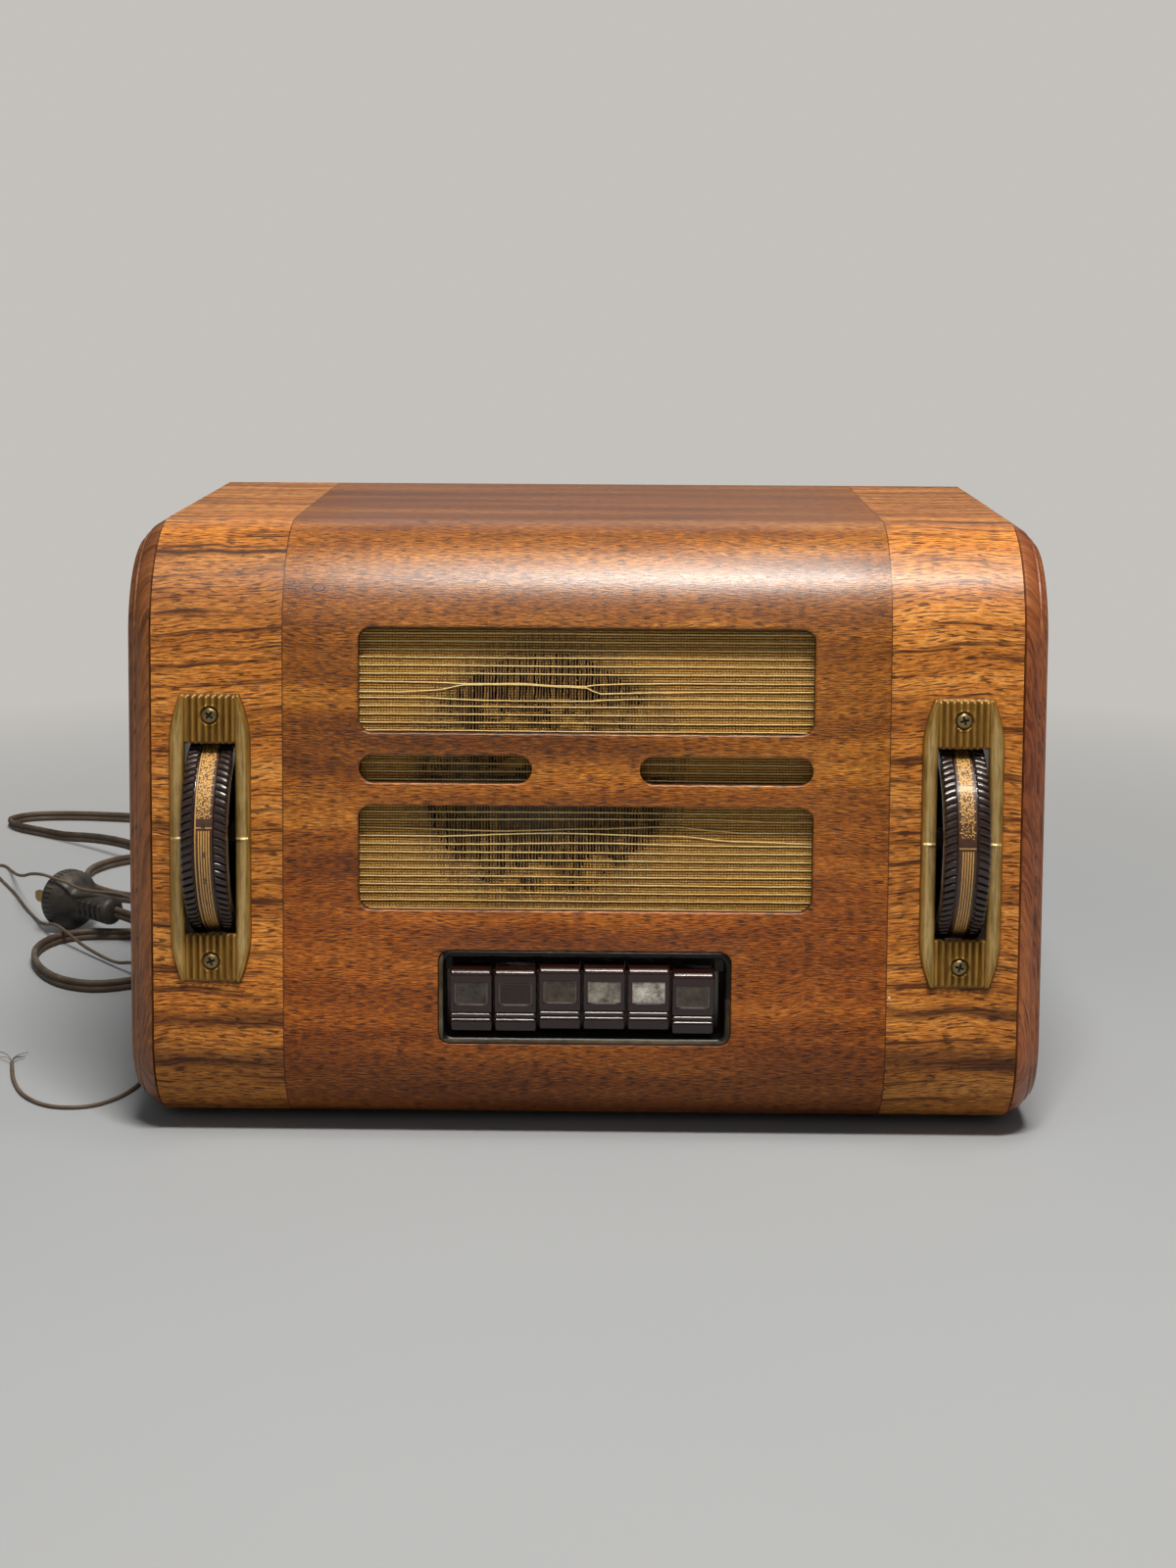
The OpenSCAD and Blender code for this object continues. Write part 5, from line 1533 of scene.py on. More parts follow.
def make_strip(name, side, node, body, finish):
    centre = hub(side)
    bm = bmesh.new()
    uv = bm.loops.layers.uv.new("strip")
    segments = 180
    section = [(-strip_half, strip_r - 0.5), (-strip_half, strip_r), (-strip_half / 3, strip_r + 0.02),
               (strip_half / 3, strip_r + 0.02), (strip_half, strip_r), (strip_half, strip_r - 0.5)]
    rows = []
    for i in range(segments):
        angle = 2 * pi * i / segments - pi
        way = spoke(angle)
        rows.append([bm.verts.new((centre + Vector((a, 0, 0)) + way * r) * MM) for a, r in section])
    for i in range(segments):
        lower, upper = rows[i], rows[(i + 1) % segments]
        for k in range(len(section)):
            n = (k + 1) % len(section)
            face = bm.faces.new((lower[k], lower[n], upper[n], upper[k]))
            for loop, (row, col) in zip(face.loops, ((i, k), (i, n), (i + 1, n), (i + 1, k))):
                arc = (2 * pi * row / segments - pi) * strip_r / 10
                loop[uv].uv = (arc, section[col][0] / 10)
    return close_piece(name, bm, [finish], "gold_print", node, body=body, sharp=50)


def make_numbers(name, side, body, numbers, first, step):
    """Printed numbers, drawn flat and then laid round the strip."""
    centre = hub(side)
    bm = bmesh.new()
    for n, number in enumerate(numbers):
        letters = bpy.data.curves.new("number", "FONT")
        letters.body = str(number)
        letters.size = 3.6
        letters.align_x = "CENTER"
        letters.align_y = "CENTER"
        letters.resolution_u = 3
        loose = bpy.data.objects.new("number", letters)
        bpy.context.collection.objects.link(loose)
        graph = bpy.context.evaluated_depsgraph_get()
        mesh = bpy.data.meshes.new_from_object(loose.evaluated_get(graph), depsgraph=graph)
        bpy.data.objects.remove(loose)
        for vert in mesh.vertices:
            angle = (first + n * step + vert.co.y) / strip_r
            way = spoke(angle)
            vert.co = (centre + Vector((vert.co.x, 0, 0)) + way * (strip_r + 0.08)) * MM
        bm.from_mesh(mesh)
    return close_piece(name, bm, [number_ink], "gold_print", body=body, outward=False)


number_ink = metal_finish("number_ink", srgb(30, 16, 9), srgb(62, 36, 20), 0.6, 0.0, 0.1)
left_print = strip_finish("left_strip_print", 0.5, 1.0, 0.4, True)
right_print = strip_finish("right_strip_print", -0.1, 0.4, 0.6, False)
make_strip("left_strip", -1, "volume_band", "volume", left_print)
make_strip("right_strip", 1, "tuning_band", "tuning", right_print)
make_numbers("volume_numbers", -1, "volume", range(1, 10), -28.0, 11.5)
make_numbers("dial_numbers", 1, "tuning", (55, 60, 70, 80, 100, 120, 140, 160), 9.0, 12.0)

# %% [markdown]
# ## The station keys
# Six moulded keys stand in the opening, each with a rounded top edge, a sunk window for a paper label
# behind film, two raised lines below it and a step back. The side profile says almost everything, so it
# is run across the key, and only the window needs points of its own.

# %% Key profile and keys
key_w = 17.3
key_h = 27.5
key_depth = 12.0
key_edge_r = 2.4
key_pitch = 18.55
keys_x = -0.9
key_face_y = 5.0
key_lift = (0, 0, 1.1, 1.1, 1.1, -0.6)
key_rest_z = foot_h + key_open_s * COS - 1.3
window_half_w = 7.3
window_from_top = 5.1
window_to = 15.0


def key_x(number):
    return keys_x + (number - 3.5) * key_pitch


def key_z(number):
    return key_rest_z + key_lift[number - 1]


def key_profile():
    """Depth and height below the top, from the back of the top round to the back of the foot."""
    points = [(key_depth, 0.0), (6.0, 0.0)]
    for i in range(9):
        angle = radians(90 * i / 8)
        points.append((key_edge_r - key_edge_r * sin(angle), key_edge_r - key_edge_r * cos(angle)))
    points += [(0.0, 4.0), (0.0, window_from_top - 0.25), (0.0, window_from_top), (0.0, window_from_top + 0.4),
               (0, 8), (0, 11), (0, 13), (0, window_to - 0.4), (0, window_to),
               (0.0, window_to + 0.25), (0.0, 17.6)]
    for middle in (18.7, 21.0):
        points += [(0.05, middle - 0.75), (0.75, middle - 0.62), (0.8, middle - 0.4), (0.2, middle - 0.15),
                   (-0.12, middle + 0.25), (-0.05, middle + 0.65)]
    points += [(0.5, 22.1), (1.6, 22.4), (2.1, 22.9), (2.2, 23.6), (2.3, 25.4), (2.6, 26.7), (3.5, 27.4),
               (4.4, 27.5), (key_depth, 27.5)]
    return points


def profile_normals(points):
    normals = []
    for i in range(len(points)):
        a = Vector(points[max(i - 1, 0)])
        b = Vector(points[min(i + 1, len(points) - 1)])
        along = (b - a).normalized()
        normals.append(Vector((-along.y, along.x)))
    return normals


def key_columns():
    half = key_w / 2
    ends = [(half, 0.75), (half - 0.12, 0.4), (half - 0.35, 0.14), (half - 0.75, 0.0)]
    inner = [window_half_w + 0.2, window_half_w, window_half_w - 0.45, 5.0, 2.5, 0.0]
    right = [(x, 0.0) for x in inner]
    columns = [(-x, shrink) for x, shrink in ends + right]
    return columns + [(x, shrink) for x, shrink in reversed(ends + right[:-1])]


def make_key(number, window_finish):
    bm = bmesh.new()
    x0, stem_z = key_x(number), key_z(number)
    top = stem_z + key_h / 2
    points = key_profile()
    normals = profile_normals(points)
    rows = []
    for x, shrink in key_columns():
        row = []
        for (depth, below), normal in zip(points, normals):
            inside = abs(x) < window_half_w - 0.1 and window_from_top + 0.1 < below < window_to - 0.1
            sunk = 0.32 if inside and depth == 0.0 else 0.0
            pulled = Vector((depth, below)) + normal * shrink
            y, z = pulled if shrink else (depth, below)
            row.append(metres(x0 + x, front_y + key_face_y + min(y, key_depth) + sunk, top - z))
        rows.append(row)
    add_tube(bm, rows)
    low_x, high_x = x0 - window_half_w + 0.4, x0 + window_half_w - 0.4
    for face in bm.faces:
        middle = face.calc_center_median() / MM
        below = top - middle.z
        if (low_x < middle.x < high_x and window_from_top + 0.3 < below < window_to - 0.3
                and middle.y < front_y + 7):
            face.material_index = 1
    back = front_y + key_face_y + key_depth
    add_block(bm, (x0 - 2.5, back - 0.5, stem_z - 1.5), (x0 + 2.5, front_y + 60.5, stem_z + 1.5), 0.2, 2)
    collar_y = front_y + 39.5
    add_block(bm, (x0 - 2.5, collar_y - 2, stem_z - 4.6), (x0 + 2.5, collar_y, stem_z + 4.6), 0.2, 2)
    return close_piece(f"station_key_{number}", bm, [key_brown, window_finish, works_steel],
                       "brown_bakelite", f"key_{number}", body=f"station_key_{number}", sharp=30)


def key_window_finish(number, dark, light, roughness):
    """Film over a paper label, gone leathery, with a pale line round its edge that is a painted highlight on
    the window's rim.
    """
    wires = Finish(f"key_window_{number}", {"Coat Weight": 0.3, "Coat Roughness": 0.3})
    place = wires.place
    parts = wires.split(place)
    x0 = key_x(number) * MM
    z0 = (key_z(number) + (key_h - window_from_top - window_to) / 2) * MM
    beside = abs(parts[0] - x0)
    above = abs(parts[2] - z0)
    # A pale line round the window's edge: painted highlight on its rim.
    edge = wires.most(wires.between(beside, 0.0063, 0.0066), wires.between(above, 0.0041, 0.0044))
    leather = wires.of("ShaderNodeTexVoronoi", {"Vector": place, "Scale": 1500.0})["Distance"]
    clouds = wires.noise(place, 260.0, 4.0, 0.65)
    colour = wires.mix(wires.between(clouds, 0.3, 0.7), dark, light)
    return wires.end(wires.mix(edge * 0.55, colour, srgb(120, 104, 92)),
                     wires.between(clouds, 0.3, 0.7, roughness + 0.12, roughness - 0.08),
                     wires.bump(leather, 0.5, 0.0004))


key_brown = moulded_finish("key_brown", srgb(24, 8, 5), srgb(50, 15, 9), 0.24, 0.3, 0.04)
works_steel = metal_finish("works_steel", srgb(110, 106, 98), srgb(168, 164, 154), 0.42, 0.85, 0.6)
# The tones of the labels; on keys 4 and 5 the pale tones are partly painted reflection of the lamps on the
# film.
window_tones_and_painted_glare = [(srgb(26, 20, 15), srgb(80, 70, 60)), (srgb(26, 9, 5), srgb(50, 20, 12)),
                (srgb(40, 30, 22), srgb(96, 80, 64)), (srgb(66, 60, 52), srgb(180, 172, 156)),
                (srgb(104, 98, 90), srgb(244, 238, 226)), (srgb(36, 30, 24), srgb(88, 78, 64))]
for number, (dark, light) in enumerate(window_tones_and_painted_glare, 1):
    make_key(number, key_window_finish(number, dark, light, 0.4))

# %% [markdown]
# ## The liner round the keys
# A black moulded frame lines the key opening, its front lip rubbed pale. Rounded rectangles of falling
# size, joined front to back, give it its soft lip.

# %% Liner
def rounded_ring(wide, high, corner, out, per_corner=7):
    opening = (0.0, key_open_s, wide, high, corner)
    return [on_face(x, s, out) for x, s in opening_outline(opening, 0.0, per_corner)]


def make_liner():
    bm = bmesh.new()
    wall = 2.4
    steps = [(0.15, -13), (0.15, -0.5), (0.25, -0.1), (0.6, 0.15), (1.1, 0.2), (1.6, 0.1), (2.1, -0.2),
             (wall, -0.5), (wall, -6), (wall, -15), (0.15, -15), (-4, -15), (-4, -13)]
    rows = []
    for inset, out in steps:
        corner = max(5.0 - inset * 0.6, 1.5) if inset > 0 else 7.0
        rows.append(rounded_ring(key_open_w - 2 * inset, key_open_h - 2 * inset, corner, out))
    add_rows(bm, rows + rows[:1])
    return close_piece("key_liner", bm, [liner_black], "black_bakelite", "key_bezel", sharp=40)


def liner_finish():
    wires = Finish("liner_black", {"Specular IOR Level": 0.35})
    place = wires.place
    gloss = wires.gloss(0.36, 0.3)
    facing = wires.split(wires.of("ShaderNodeNewGeometry")["Normal"])[1]
    parts = wires.split(place)
    left = parts[0] < (2 - key_open_w / 2) * MM
    low = parts[2] < (foot_h + (key_open_s - key_open_h / 2 + 2) * COS) * MM
    corner = (parts[0] > (key_open_w / 2 - 3) * MM) * (parts[2] < (foot_h + key_open_s * COS) * MM)
    where = wires.most(left, low, corner * 0.6)
    rubbed = wires.between(facing, -0.55, -0.9) * wires.between(gloss["Mottle"], 0.35, 0.6) * where
    return wires.end(wires.mix(rubbed, srgb(7, 6, 5), srgb(104, 88, 64)), gloss["Roughness"],
                     wires.bump(wires.noise(place, 300.0, 3.0), 0.35, 0.0006))


liner_black = liner_finish()
make_liner()

# %% [markdown]
# ## The grille cloth
# The cloth is a thin open weave with a gold thread across it every 3.4 mm, and where it has rotted over
# the speaker the dark shows through. Threads that can be told apart in the photograph are real threads.
# The tissue between them is a sheet with holes in its finish: a hundred thousand crossings would only
# slow the picture.

# %% Cloth sheet
cloth_low, cloth_high = node_box("grille_cloth")
cloth_w = cloth_high.x - cloth_low.x
cloth_h = 128.8
cloth_s = (window_top + 2.7 + window_bottom - 9.0) / 2
cloth_out = -7.0
speaker_x = -17.0
gold_step = 3.4
lying_per_gold = 3
uprights_per_cm = 7.9
slack_r = 57.0
bare_r = 60.0


def cloth_finish():
    wires = Finish("grille_tissue", {"Specular IOR Level": 0.3})
    place = wires.unrolled("cloth")
    parts = wires.split(place)
    x, y = parts[0], parts[1]
    wobble = wires.noise(place, 2.0, 3.0) - 0.5
    upright = abs(wires.fract(wobble * 1.2 + x * uprights_per_cm) - 0.5)
    lying = abs(wires.fract(wobble * 0.35 + y * (10 * lying_per_gold / gold_step)) - 0.5)
    from_hole = wires.length(place - (speaker_x / 10, 0.0, 0.0))
    upper = wires.between(y, 2.7, 3.7)
    lower = wires.between(y, -3.8, -3.0) * (y < 0.0)
    leftward = wires.between(x, -4.5, 3.5, 0.14, 0.0)
    patches = wires.noise(place * (1.0, 1.6, 1.0), 0.9, 5.0, 0.62)
    patches = patches + (wires.most(upper, lower) * 0.22 + leftward)
    rot = wires.between(patches, 0.42, 0.68) * wires.between(from_hole, bare_r / 10, bare_r / 10 - 1)
    open_x = upright > rot * -0.3 + 0.44
    open_y = lying > rot * -0.3 + 0.42
    kept_rope = (lying < 0.16) * (rot < 0.85)
    torn = (rot > 0.6) * (upright > 0.12) * (1.0 - kept_rope)
    hole = wires.most(open_x * open_y, torn)
    broad = wires.noise(place * (1.0, 5.0, 1.0), 3.0, 4.0, 0.65)
    tone = wires.noise(place, 26.0, 2.0, 0.6) * 0.5 + broad * 0.5
    colour = wires.mix(wires.between(tone, 0.34, 0.64), srgb(180, 106, 26), srgb(255, 204, 106))
    # Dark between the rows and between the beads: painted shade in the gaps of the weave.
    groove = wires.most(wires.between(lying, 0.22, 0.38), wires.between(upright, 0.3, 0.48, 0.0, 0.8))
    colour = wires.mix(groove * 0.97, colour, srgb(44, 24, 4))
    height = 0.0 - wires.most(upright, lying)
    return wires.end(colour, wires.between(tone, 0.2, 0.8, 0.75, 0.5), wires.bump(height, 0.7, 0.0006),
                     {"Alpha": 1.0 - hole})


def make_cloth():
    bm = bmesh.new()
    uv = bm.loops.layers.uv.new("cloth")
    columns, lines = 74, 42
    rows = []
    for k in range(lines + 1):
        s = -cloth_h / 2 + cloth_h * k / lines
        row = []
        for i in range(columns + 1):
            x = -cloth_w / 2 + cloth_w * i / columns
            away = hypot(x - speaker_x, s) / slack_r
            slack = 0.25 * max(1 - away * away, 0) * sin(x * 0.21 + s * 0.13)
            row.append((x, s, cloth_out + slack))
        rows.append(row)
    verts = add_rows(bm, [[on_face(x, cloth_s + s, out) for x, s, out in row] for row in rows], ring=False)
    flat = {vert: (x, s) for line, row in zip(verts, rows) for vert, (x, s, out) in zip(line, row)}
    for face in bm.faces:
        for loop in face.loops:
            x, s = flat[loop.vert]
            loop[uv].uv = (x / 10, s / 10)
    return close_piece("grille_tissue", bm, [tissue], "grille_cloth", "grille_cloth", outward=False)


# %% Gold threads and fine uprights
# row number: (x, how far the thread has slipped up the cloth)
slack_threads = {
    29: [(-95, -0.9), (-78, -0.9), (-65, -0.2), (-49, 2.3), (-29, 2.4), (-10, 1.5), (-1, 1.2), (6, -1.3),
         (30, -0.6), (60, 0.0)],
    30: [(-80, 0), (-65, -0.2), (-49, -0.7), (-29, -0.6), (-10, -1.5), (-1, -1.7), (5, -0.9),
         (20, -0.4), (40, 0)],
    28: [(-70, 0), (-40, -0.9), (-5, -0.9), (20, 0)],
    12: [(-95, 0), (-37, -1), (3, 0), (37, 1), (55, -0.4), (64, -1.3), (95, -1)],
    11: [(-80, 0), (-65, -0.2), (-10, 1.4), (37, 0.6), (65, -1.6), (93, -2.3)],
    10: [(-60, 0), (0, 0.7), (50, 0)],
    13: [(-60, 0), (10, 0.8), (50, 0.9), (80, 0)]}


def slip_at(row, x):
    """How far a row's thread has slipped at x, easing from one known place to the next."""
    known = slack_threads.get(row, [(0, 0.0)])
    if x <= known[0][0]:
        return known[0][1]
    for (x0, a), (x1, b) in zip(known, known[1:]):
        if x <= x1:
            return a + (b - a) * ease(x, x0, x1)
    return known[-1][1]


def thread_route(row, chance):
    s = -cloth_h / 2 + gold_step * (row + 0.5)
    phase = chance.uniform(0, 6.28)
    points = []
    for i in range(75):
        x = -cloth_w / 2 + cloth_w * i / 74
        line = s + 0.10 * sin(x * 0.05 + phase) + chance.uniform(-0.05, 0.05) + slip_at(row, x)
        points.append(on_face(x, cloth_s + line, cloth_out + 0.32))
    return points


def make_gold_threads():
    chance = random.Random(11)
    count = int(cloth_h / gold_step)
    routes = [thread_route(row, chance) for row in range(count)]
    return thread_piece("gold_threads", routes, 0.0003, 6, gold_thread, "grille_cloth", outward=False)


def thread_finish(name, dark, light, metallic, roughness):
    wires = Finish(name, {"Metallic": metallic, "Sheen Weight": 0.2})
    twist = wires.noise(wires.place * (1.0, 0.4, 0.4), 1500.0, 2.0)
    tone = twist * 0.5 + wires.noise(wires.place, 40.0, 3.0, 0.6) * 0.5
    return wires.end(wires.mix(wires.between(tone, 0.3, 0.7), dark, light),
                     wires.between(tone, 0.3, 0.7, roughness + 0.1, roughness - 0.1),
                     wires.bump(twist, 0.4, 0.0003))


tissue = cloth_finish()
gold_thread = thread_finish("gold_thread", srgb(222, 172, 84), srgb(255, 236, 164), 0.1, 0.42)
brown_thread = thread_finish("brown_thread", srgb(74, 50, 20), srgb(150, 112, 58), 0.0, 0.7)


def make_uprights():
    """Fine upright threads where the tissue has gone, over the speaker."""
    chance = random.Random(5)
    routes = []
    for k in range(93):
        x = speaker_x - 58 + 1.26 * k + chance.uniform(-0.16, 0.16)
        lean = chance.uniform(-0.6, 0.6)
        half = sqrt(max(bare_r ** 2 - (x - speaker_x) ** 2, 0))
        points = []
        for i in range(17):
            t = -1 + 2 * i / 16
            points.append(on_face(x + lean * t + 0.15 * sin(9 * t + k), cloth_s + t * half, cloth_out + 0.12))
        if half > 3:
            routes.append(points)
    return thread_piece("upright_threads", routes, 0.00022, 4, brown_thread, "grille_cloth", outward=False)


cloth = make_cloth()
gold_threads = make_gold_threads()
uprights = make_uprights()

# %% [markdown]
# ## The works, seen from behind
# The back is open, so the works show: a grey chassis with tubes, cans, transformers and the tuning
# capacitor. CAD shapes that are right keep their form and get a finish. Tubes, cans and transformers are
# built again with the beads, seams and steps that a stand-in lacks.

# %% Finishes for the works
def paint_finish(name, dark, light, roughness, dusty=0.7):
    return metal_finish(name, dark, light, roughness, 0.1, dusty)


chassis_grey = metal_finish("chassis_grey", srgb(120, 118, 110), srgb(160, 158, 148), 0.5, 0.6, 0.8)
dull_aluminium = metal_finish("dull_aluminium", srgb(150, 150, 148), srgb(196, 196, 194), 0.42, 0.9, 0.5)
tube_black = paint_finish("tube_black", srgb(20, 20, 20), srgb(44, 43, 42), 0.4)
coil_black = paint_finish("transformer_black", srgb(16, 16, 16), srgb(38, 36, 34), 0.5)
brown_board = paint_finish("brown_moulding", srgb(48, 28, 16), srgb(84, 54, 34), 0.5)
waxed_paper = paint_finish("waxed_paper", srgb(134, 100, 52), srgb(184, 148, 92), 0.55)
felt_black = paint_finish("black_felt", srgb(22, 20, 18), srgb(44, 40, 36), 0.95, 0.2)
paper_cone = paint_finish("paper_cone", srgb(32, 28, 22), srgb(64, 56, 44), 0.9, 0.3)
tan_board = board_finish("tan_baffle_board",
                         (srgb(96, 68, 38), srgb(138, 102, 60), srgb(166, 130, 84), srgb(80, 54, 28)),
                         (0, 2, 1), 0.0, {"Streaks": 5.0, "Fleck width": 80.0}, 0.8)
drive_cord = thread_finish("drive_cord", srgb(70, 54, 32), srgb(128, 104, 68), 0.0, 0.8)


def repaint(finish, nodes):
    """Gives CAD nodes that keep their shape their finish."""
    for node in nodes.split():
        piece = frame["nodes"][node]
        if not piece.data.materials:
            piece.data.materials.append(finish)
        for slot in piece.material_slots:
            slot.material = finish


repaint(inner_board, "bottom_board glue_blocks")
repaint(tan_board, "baffle_board")
repaint(felt_black, "feet")
repaint(works_steel, "volume_shaft tuning_shaft volume_control shaft_brackets gang_frame key_bank")
repaint(works_steel, "speaker_bolts chassis_bolts key_springs")
repaint(chassis_grey, "speaker_basket chassis")
repaint(paper_cone, "speaker_surround speaker_cone")
repaint(coil_black, "speaker_magnet output_transformer mains_transformer")
repaint(dull_aluminium, "gang_stator gang_rotor if_cans filter_capacitor")
repaint(brown_board, "tube_sockets rectifier_base terminal_strip")
repaint(waxed_paper, "under_chassis_parts")
repaint(drive_cord, "dial_cord")
repaint(tube_black, "tube_mixer tube_if tube_detector tube_output")


# %% [markdown]
# ## Metal tubes
# Four of the five tubes are steel shells, painted black, with a moulded base, a crimped foot and a
# stepped top. Three carry a small cap for a wire. All are turnings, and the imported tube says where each
# stands.

# %% Metal tubes
def foot_of(node):
    low, high = node_box(node)
    return ((low.x + high.x) / 2, (low.y + high.y) / 2, low.z)


def make_metal_tube(name, node, capped):
    bm = bmesh.new()
    place = along_z(foot_of(node))
    add_turning(bm, [(0, 0.01), (0, 12.5), (0.6, 14.4), (3.2, 15.4), (10.2, 15.9), (10.9, 15.4), (11, 0.01)],
                place, 40, 1)
    shell = [(10.6, 0.01), (10.6, 16), (11, 16.5), (12, 16.5), (12.5, 16), (12.7, 15), (13.5, 14.6),
             (49, 14.6), (51.5, 14.2), (53.8, 13), (55.4, 11.5), (56.4, 11.1), (61.8, 10.9), (64.2, 10.1),
             (65.8, 8.2), (66.4, 5.6), (66.5, 0.01)]
    add_turning(bm, shell, place, 40, 0)
    if capped:
        add_turning(bm, [(66.2, 0.01), (66.2, 5), (67.4, 4.8), (67.6, 3.2), (68.2, 3.2), (68.4, 4.5),
                         (73, 4.3), (74.1, 3.6), (74.5, 2), (74.5, 0.01)], place, 24, 2)
    finishes = [tube_black, key_brown, works_steel]
    return close_piece(name, bm, finishes, "black_paint", node, sharp=40)


make_metal_tube("mixer_tube", "tube_mixer", True)
make_metal_tube("amplifier_tube", "tube_if", True)
make_metal_tube("detector_tube", "tube_detector", True)
make_metal_tube("output_tube", "tube_output", False)

# %% [markdown]
# ## The glass rectifier
# The rectifier is the one glass tube, with a shouldered bulb. A solid lump of glass would act as a lens,
# so the bulb is two skins, the inner one facing inwards. Inside stand two dark plates between mica discs,
# with a silvered patch under the top.

# %% Rectifier
bulb_profile = [(0.2, 11.4), (4, 12), (14, 13.6), (24, 14.4), (34, 14.4), (39.5, 13.3), (43.2, 11),
                (46, 10.4), (54, 10.2), (58.8, 8.7), (61.4, 5.4), (62.3, 2)]
bulb_wall = 0.8


def glass_finish():
    wires = Finish("tube_glass", {
        "Transmission Weight": 1.0, "IOR": 1.45, "Base Color": (0.94, 0.96, 0.95, 1.0)})
    smears = wires.noise(wires.place, 120.0, 4.0, 0.65)
    return wires.end(None, wires.between(smears, 0.4, 0.75, 0.02, 0.22))


def make_rectifier():
    place = along_z(foot_of("rectifier_glass"))
    bm = bmesh.new()
    for wall in (0.0, bulb_wall):
        skin = bmesh.new()
        inside = [(a + wall * (1 if a < 30 else -1), r - wall) for a, r in bulb_profile]
        ends = [(inside[0][0], 0.01)] + inside + [(inside[-1][0] + 0.1, 0.01)]
        add_turning(skin, ends, place, 48)
        bmesh.ops.recalc_face_normals(skin, faces=skin.faces[:])
        if wall:
            bmesh.ops.reverse_faces(skin, faces=skin.faces[:])
        bm.from_mesh(loose_object("skin", skin).data)
    close_piece("rectifier_bulb", bm, [glass_finish()], "tube_glass", "rectifier_glass", sharp=60,
                outward=False)
    x, y, z = foot_of("rectifier_glass")
    works = bmesh.new()
    for side in (-1, 1):
        add_block(works, (x + side * 4.4 - 3.6, y - 2.6, z + 12), (x + side * 4.4 + 3.6, y + 2.6, z + 38), 1.2,
                  0)
    for height in (10.4, 38.4):
        add_turning(works, [(height, 0.01), (height, 9.2), (height + 0.5, 9.2), (height + 0.5, 0.01)], place,
                    24, 1)
    add_turning(works, [(1.2, 0.01), (1.2, 4.6), (3.4, 4.2), (7.2, 2.2), (9.6, 1.6), (9.8, 0.01)], place, 20, 1)
    posts = [(-7.6, 0), (-1.2, 0), (1.2, 0), (7.6, 0)]
    for px, py in posts:
        add_turning(works, [(3, 0.01), (3, 0.4), (41, 0.4), (41, 0.01)], along_z((x + px, y + py, z)), 8, 2)
    add_turning(works, [(57.2, 0.01), (57.2, 7.2), (58.6, 6.6), (60.4, 4.4), (60.9, 1.5), (60.95, 0.01)],
                place, 24, 2)
    close_piece("rectifier_works", works, [plate_carbon, mica, works_steel], "steel", sharp=40)


plate_carbon = paint_finish("plate_carbon", srgb(24, 24, 25), srgb(54, 53, 52), 0.6, 0.0)
mica = paint_finish("mica", srgb(140, 130, 110), srgb(186, 178, 160), 0.35, 0.0)
make_rectifier()

# %% [markdown]
# ## Cans and capacitor
# Two square aluminium cans with round corners and two small screws on top hold the coils. They are
# stacks of rounded squares. The filter capacitor is a turning with a crimped foot and a rolled rim.

# %% Coil cans and filter capacitor
chassis_top = chassis_high.z
can_places = ((78, 190), (0, 148))
can_h = 80.0


def rounded_square(half_x, half_y, corner, per_corner=5):
    """Points round a rounded rectangle, seen flat."""
    return opening_outline((0.0, 0.0, 2 * half_x, 2 * half_y, corner), 0.0, per_corner)


def make_cans():
    bm = bmesh.new()
    for can_x, can_y in can_places:
        x, y = can_x, can_y + front_y
        levels = [(0, 17.6, 4.2), (0.9, 17.6, 4.2), (1.2, 17, 4), (5, 16.9, 4), (5.6, 16.6, 3.8),
                  (6.4, 16.9, 4.0), (can_h - 2.4, 16.9, 4.0), (can_h - 1.0, 16.5, 3.8),
                  (can_h - 0.2, 15.7, 3.4), (can_h, 14.6, 3.0), (can_h - 0.1, 13.4, 2.6),
                  (can_h - 0.7, 12.9, 2.4)]
        rows = [[metres(x + a, y + b, chassis_top + z) for a, b in rounded_square(half, half, corner)]
                for z, half, corner in levels]
        add_tube(bm, rows, 0)
        for side in (-1, 1):
            place = along_z((x + side * 8, y, chassis_top + can_h))
            add_turning(bm, [(-1, 0.01), (-1, 3.6), (0, 3.5), (0.1, 2.4), (1.9, 2.4), (2.3, 2), (2.3, 0.01)],
                        place, 6, 1)
    return close_piece("coil_cans", bm, [dull_aluminium, old_brass], "aluminium", "if_cans", sharp=30)


def make_filter_capacitor():
    bm = bmesh.new()
    profile = [(0, 0.01), (0, 19), (1.2, 19), (1.5, 17.7), (3, 17), (8.2, 17), (9, 16.3), (9.8, 17),
               (70.2, 17), (71.4, 16.7), (72.2, 15.9), (72.2, 15.1), (71, 14.6), (70.8, 9), (71, 6.4),
               (73.4, 5.8), (74, 4.6), (74, 0.01)]
    add_turning(bm, profile, along_z(foot_of("filter_capacitor")), 48)
    return close_piece("filter_can", bm, [dull_aluminium], "aluminium", "filter_capacitor", sharp=35)


make_cans()
make_filter_capacitor()

# %% [markdown]
# ## Transformers
# The mains transformer is a pile of iron sheets between two drawn covers with a bolt at each corner. The
# sheets repeat, so one is made and the tree lays out a row of copies. The output transformer is smaller
# and open: its paper-wrapped winding shows on both sides of the iron.

# %% Transformers
def iron_sheets(x, z, wide, high, start, count, step):
    """A pile of sheets across the depth, from start onwards."""
    form = bmesh.new()
    rows = []
    for y, grown in ((0.0, -0.2), (0.15, 0.0), (step * 0.75, 0.0), (step * 0.9, -0.2)):
        half = (wide / 2 + grown, high / 2 + grown)
        rows.append([metres(a, y, b) for a, b in rounded_square(half[0], half[1], 1.0, 1)])
    add_tube(form, rows)
    values = {"Count": count, "Step": metres(0, step, 0), "Start": metres(x, start, z), "Finish": sheet_iron}
    return grow(form_of(form), ROW_OF_COPIES, values)


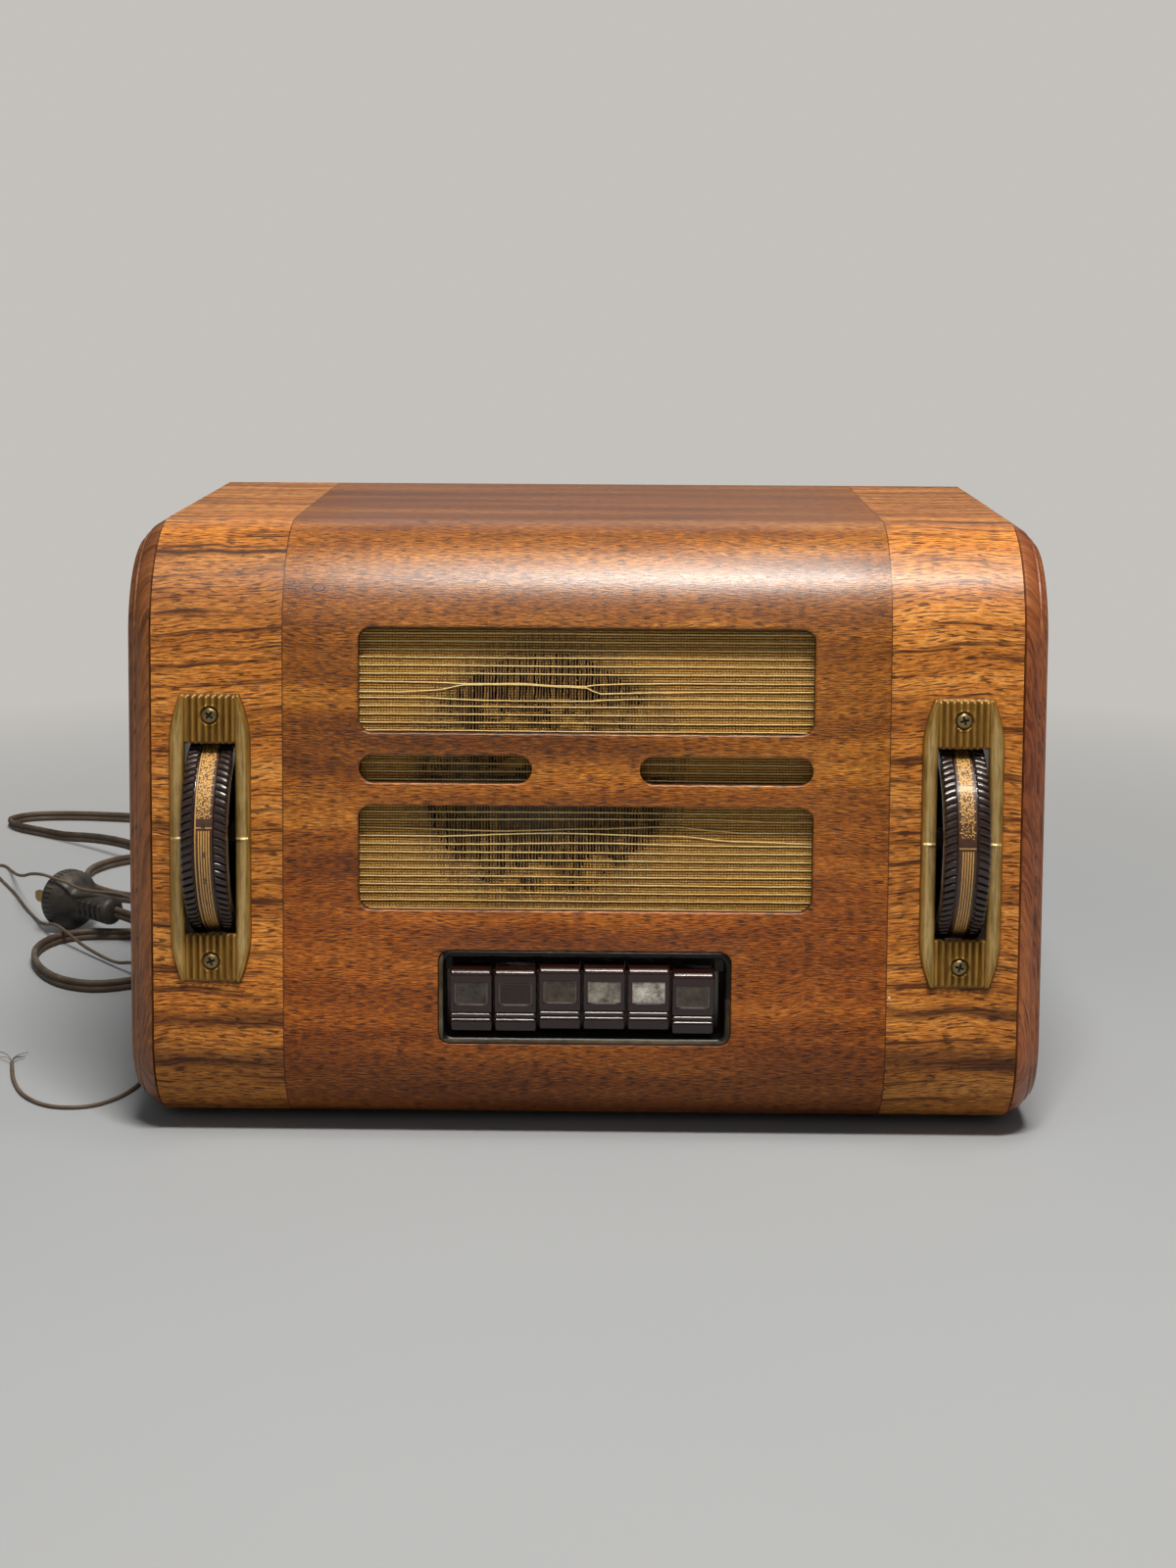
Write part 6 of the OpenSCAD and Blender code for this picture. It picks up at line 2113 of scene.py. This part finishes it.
def add_cover(bm, x, z, wide, high, seat, depth, way, finish):
    """A drawn cover: flange, round-cornered box and crowned end."""
    levels = [(0, 0, 3), (0.9, 0, 3), (1.3, 4.2, 7), (3, 5, 8), (depth - 4.5, 5.6, 8.5),
              (depth - 1.6, 7.6, 8.5), (depth - 0.4, 10.5, 7.5), (depth, 14.0, 6.0)]
    rows = [[metres(x + a, seat + way * out, z + b)
             for a, b in rounded_square(wide / 2 - inset, high / 2 - inset, corner)]
            for out, inset, corner in levels]
    add_tube(bm, rows, finish)


def make_mains_transformer():
    low, high = node_box("mains_transformer")
    x, z = (low.x + high.x) / 2, (low.z + high.z) / 2
    wide, tall = high.x - low.x, high.z - low.z
    cover = 17.0
    bm = bmesh.new()
    start, end = low.y + cover, high.y - cover
    bm.from_mesh(iron_sheets(x, z, wide, tall, start, 20, (end - start) / 20))
    for face in bm.faces:
        face.material_index = 1
    add_cover(bm, x, z, wide - 1, tall - 1, end, cover - 0.5, 1, 0)
    add_cover(bm, x, z, wide - 1, tall - 1, start, cover - 0.5, -1, 0)
    for sx in (-1, 1):
        for sz in (-1, 1):
            centre = (x + sx * (wide / 2 - 4.6), 0, z + sz * (tall / 2 - 4.6))
            for seat, way in ((end, 1), (start, -1)):
                profile = [(seat + way * 0.5, 0.01), (seat + way * 0.5, 3.4), (seat + way * 3.2, 3.4),
                           (seat + way * 3.6, 2.9), (seat + way * 3.6, 0.01)]
                add_turning(bm, profile, along_y(centre), 6, 2)
    return close_piece("mains_transformer_iron", bm, [coil_black, sheet_iron, works_steel], "black_paint",
                       "mains_transformer", sharp=30)


def make_output_transformer():
    low, high = node_box("output_transformer")
    x, z = (low.x + high.x) / 2, (low.z + high.z) / 2
    bm = bmesh.new()
    middle = (low.y + high.y) / 2
    bm.from_mesh(iron_sheets(x, z, high.x - low.x - 2, high.z - low.z - 2, middle - 9, 16, 18 / 16))
    for face in bm.faces:
        face.material_index = 1
    add_block(bm, (x - 15, low.y + 1, z - 9.5), (x + 15, high.y - 1, z + 9.5), 3.0, 2)
    add_block(bm, (low.x, middle - 4, high.z - 1.1), (high.x, middle + 4, high.z), 0.3, 0)
    for side, edge in ((-1, low.x), (1, high.x)):
        add_block(bm, (min(edge, edge - side), middle - 4, low.z), (max(edge, edge - side), middle + 4,
                                                                    high.z), 0.3, 0)
    return close_piece("output_transformer_iron", bm, [works_steel, sheet_iron, waxed_paper], "black_paint",
                       "output_transformer", sharp=30)


sheet_iron = metal_finish("sheet_iron", srgb(40, 34, 30), srgb(92, 84, 76), 0.5, 0.7, 0.5)
make_mains_transformer()
make_output_transformer()

# %% [markdown]
# ## Key springs
# A coil spring behind each key pushes it back. It is a wire along a helix, and it shortens towards the
# end that stays when its key goes in.

# %% Key springs
spring_low, spring_high = node_box("key_springs")
spring_r = 4.1
spring_wire = 0.45
spring_turns = 7
spring_steps = 20 * spring_turns


def make_spring(number):
    x, z = key_x(number), key_z(number)
    start = spring_low.y + spring_wire
    length = spring_high.y - spring_low.y - 2 * spring_wire
    route = []
    for i in range(spring_steps + 1):
        share = i / spring_steps
        even = min(max((share - 0.12) / 0.76, 0), 1)
        angle = 2 * pi * spring_turns * share
        along = start + length * (even * 0.9 + share * 0.1)
        route.append(metres(x + spring_r * cos(angle), along, z + spring_r * sin(angle)))
    spring = thread_piece(f"key_spring_{number}", [route], spring_wire * MM, 6, works_steel, "steel",
                          "key_springs" if number == 1 else "", sharp=60)
    tuple(metres(x, spring_high.y, z))
    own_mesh(spring)


for number in range(1, 7):
    make_spring(number)

# %% [markdown]
# ## Terminal strip
# Two screws on a brown strip take an outside aerial and an earth wire.

# %% Terminal strip
def make_terminals():
    low, high = node_box("terminal_strip")
    bm = bmesh.new()
    add_block(bm, (low.x, low.y, low.z), (high.x, low.y + 2.6, high.z), 0.5, 0)
    for x in ((low.x + high.x) / 2 - 12, (low.x + high.x) / 2 + 12):
        place = along_y((x, low.y + 2.4, (low.z + high.z) / 2))
        add_turning(bm, [(0, 0.01), (0, 4.2), (0.5, 4.2), (0.6, 2.2), (1, 2.2), (1.1, 3.2), (3, 3.1),
                         (3.5, 2.6), (3.5, 0.01)], place, 24, 1)
        add_block(bm, (x - 1.6, low.y + 2.6, low.z - 3), (x + 1.6, low.y + 3.1, (low.z + high.z) / 2 - 2),
                  0.15, 1)
    return close_piece("terminal_board", bm, [brown_board, old_brass], "brown_board", "terminal_strip",
                       sharp=30)


make_terminals()

# %% View transform
view = bpy.context.scene.view_settings
view.view_transform = "Standard"
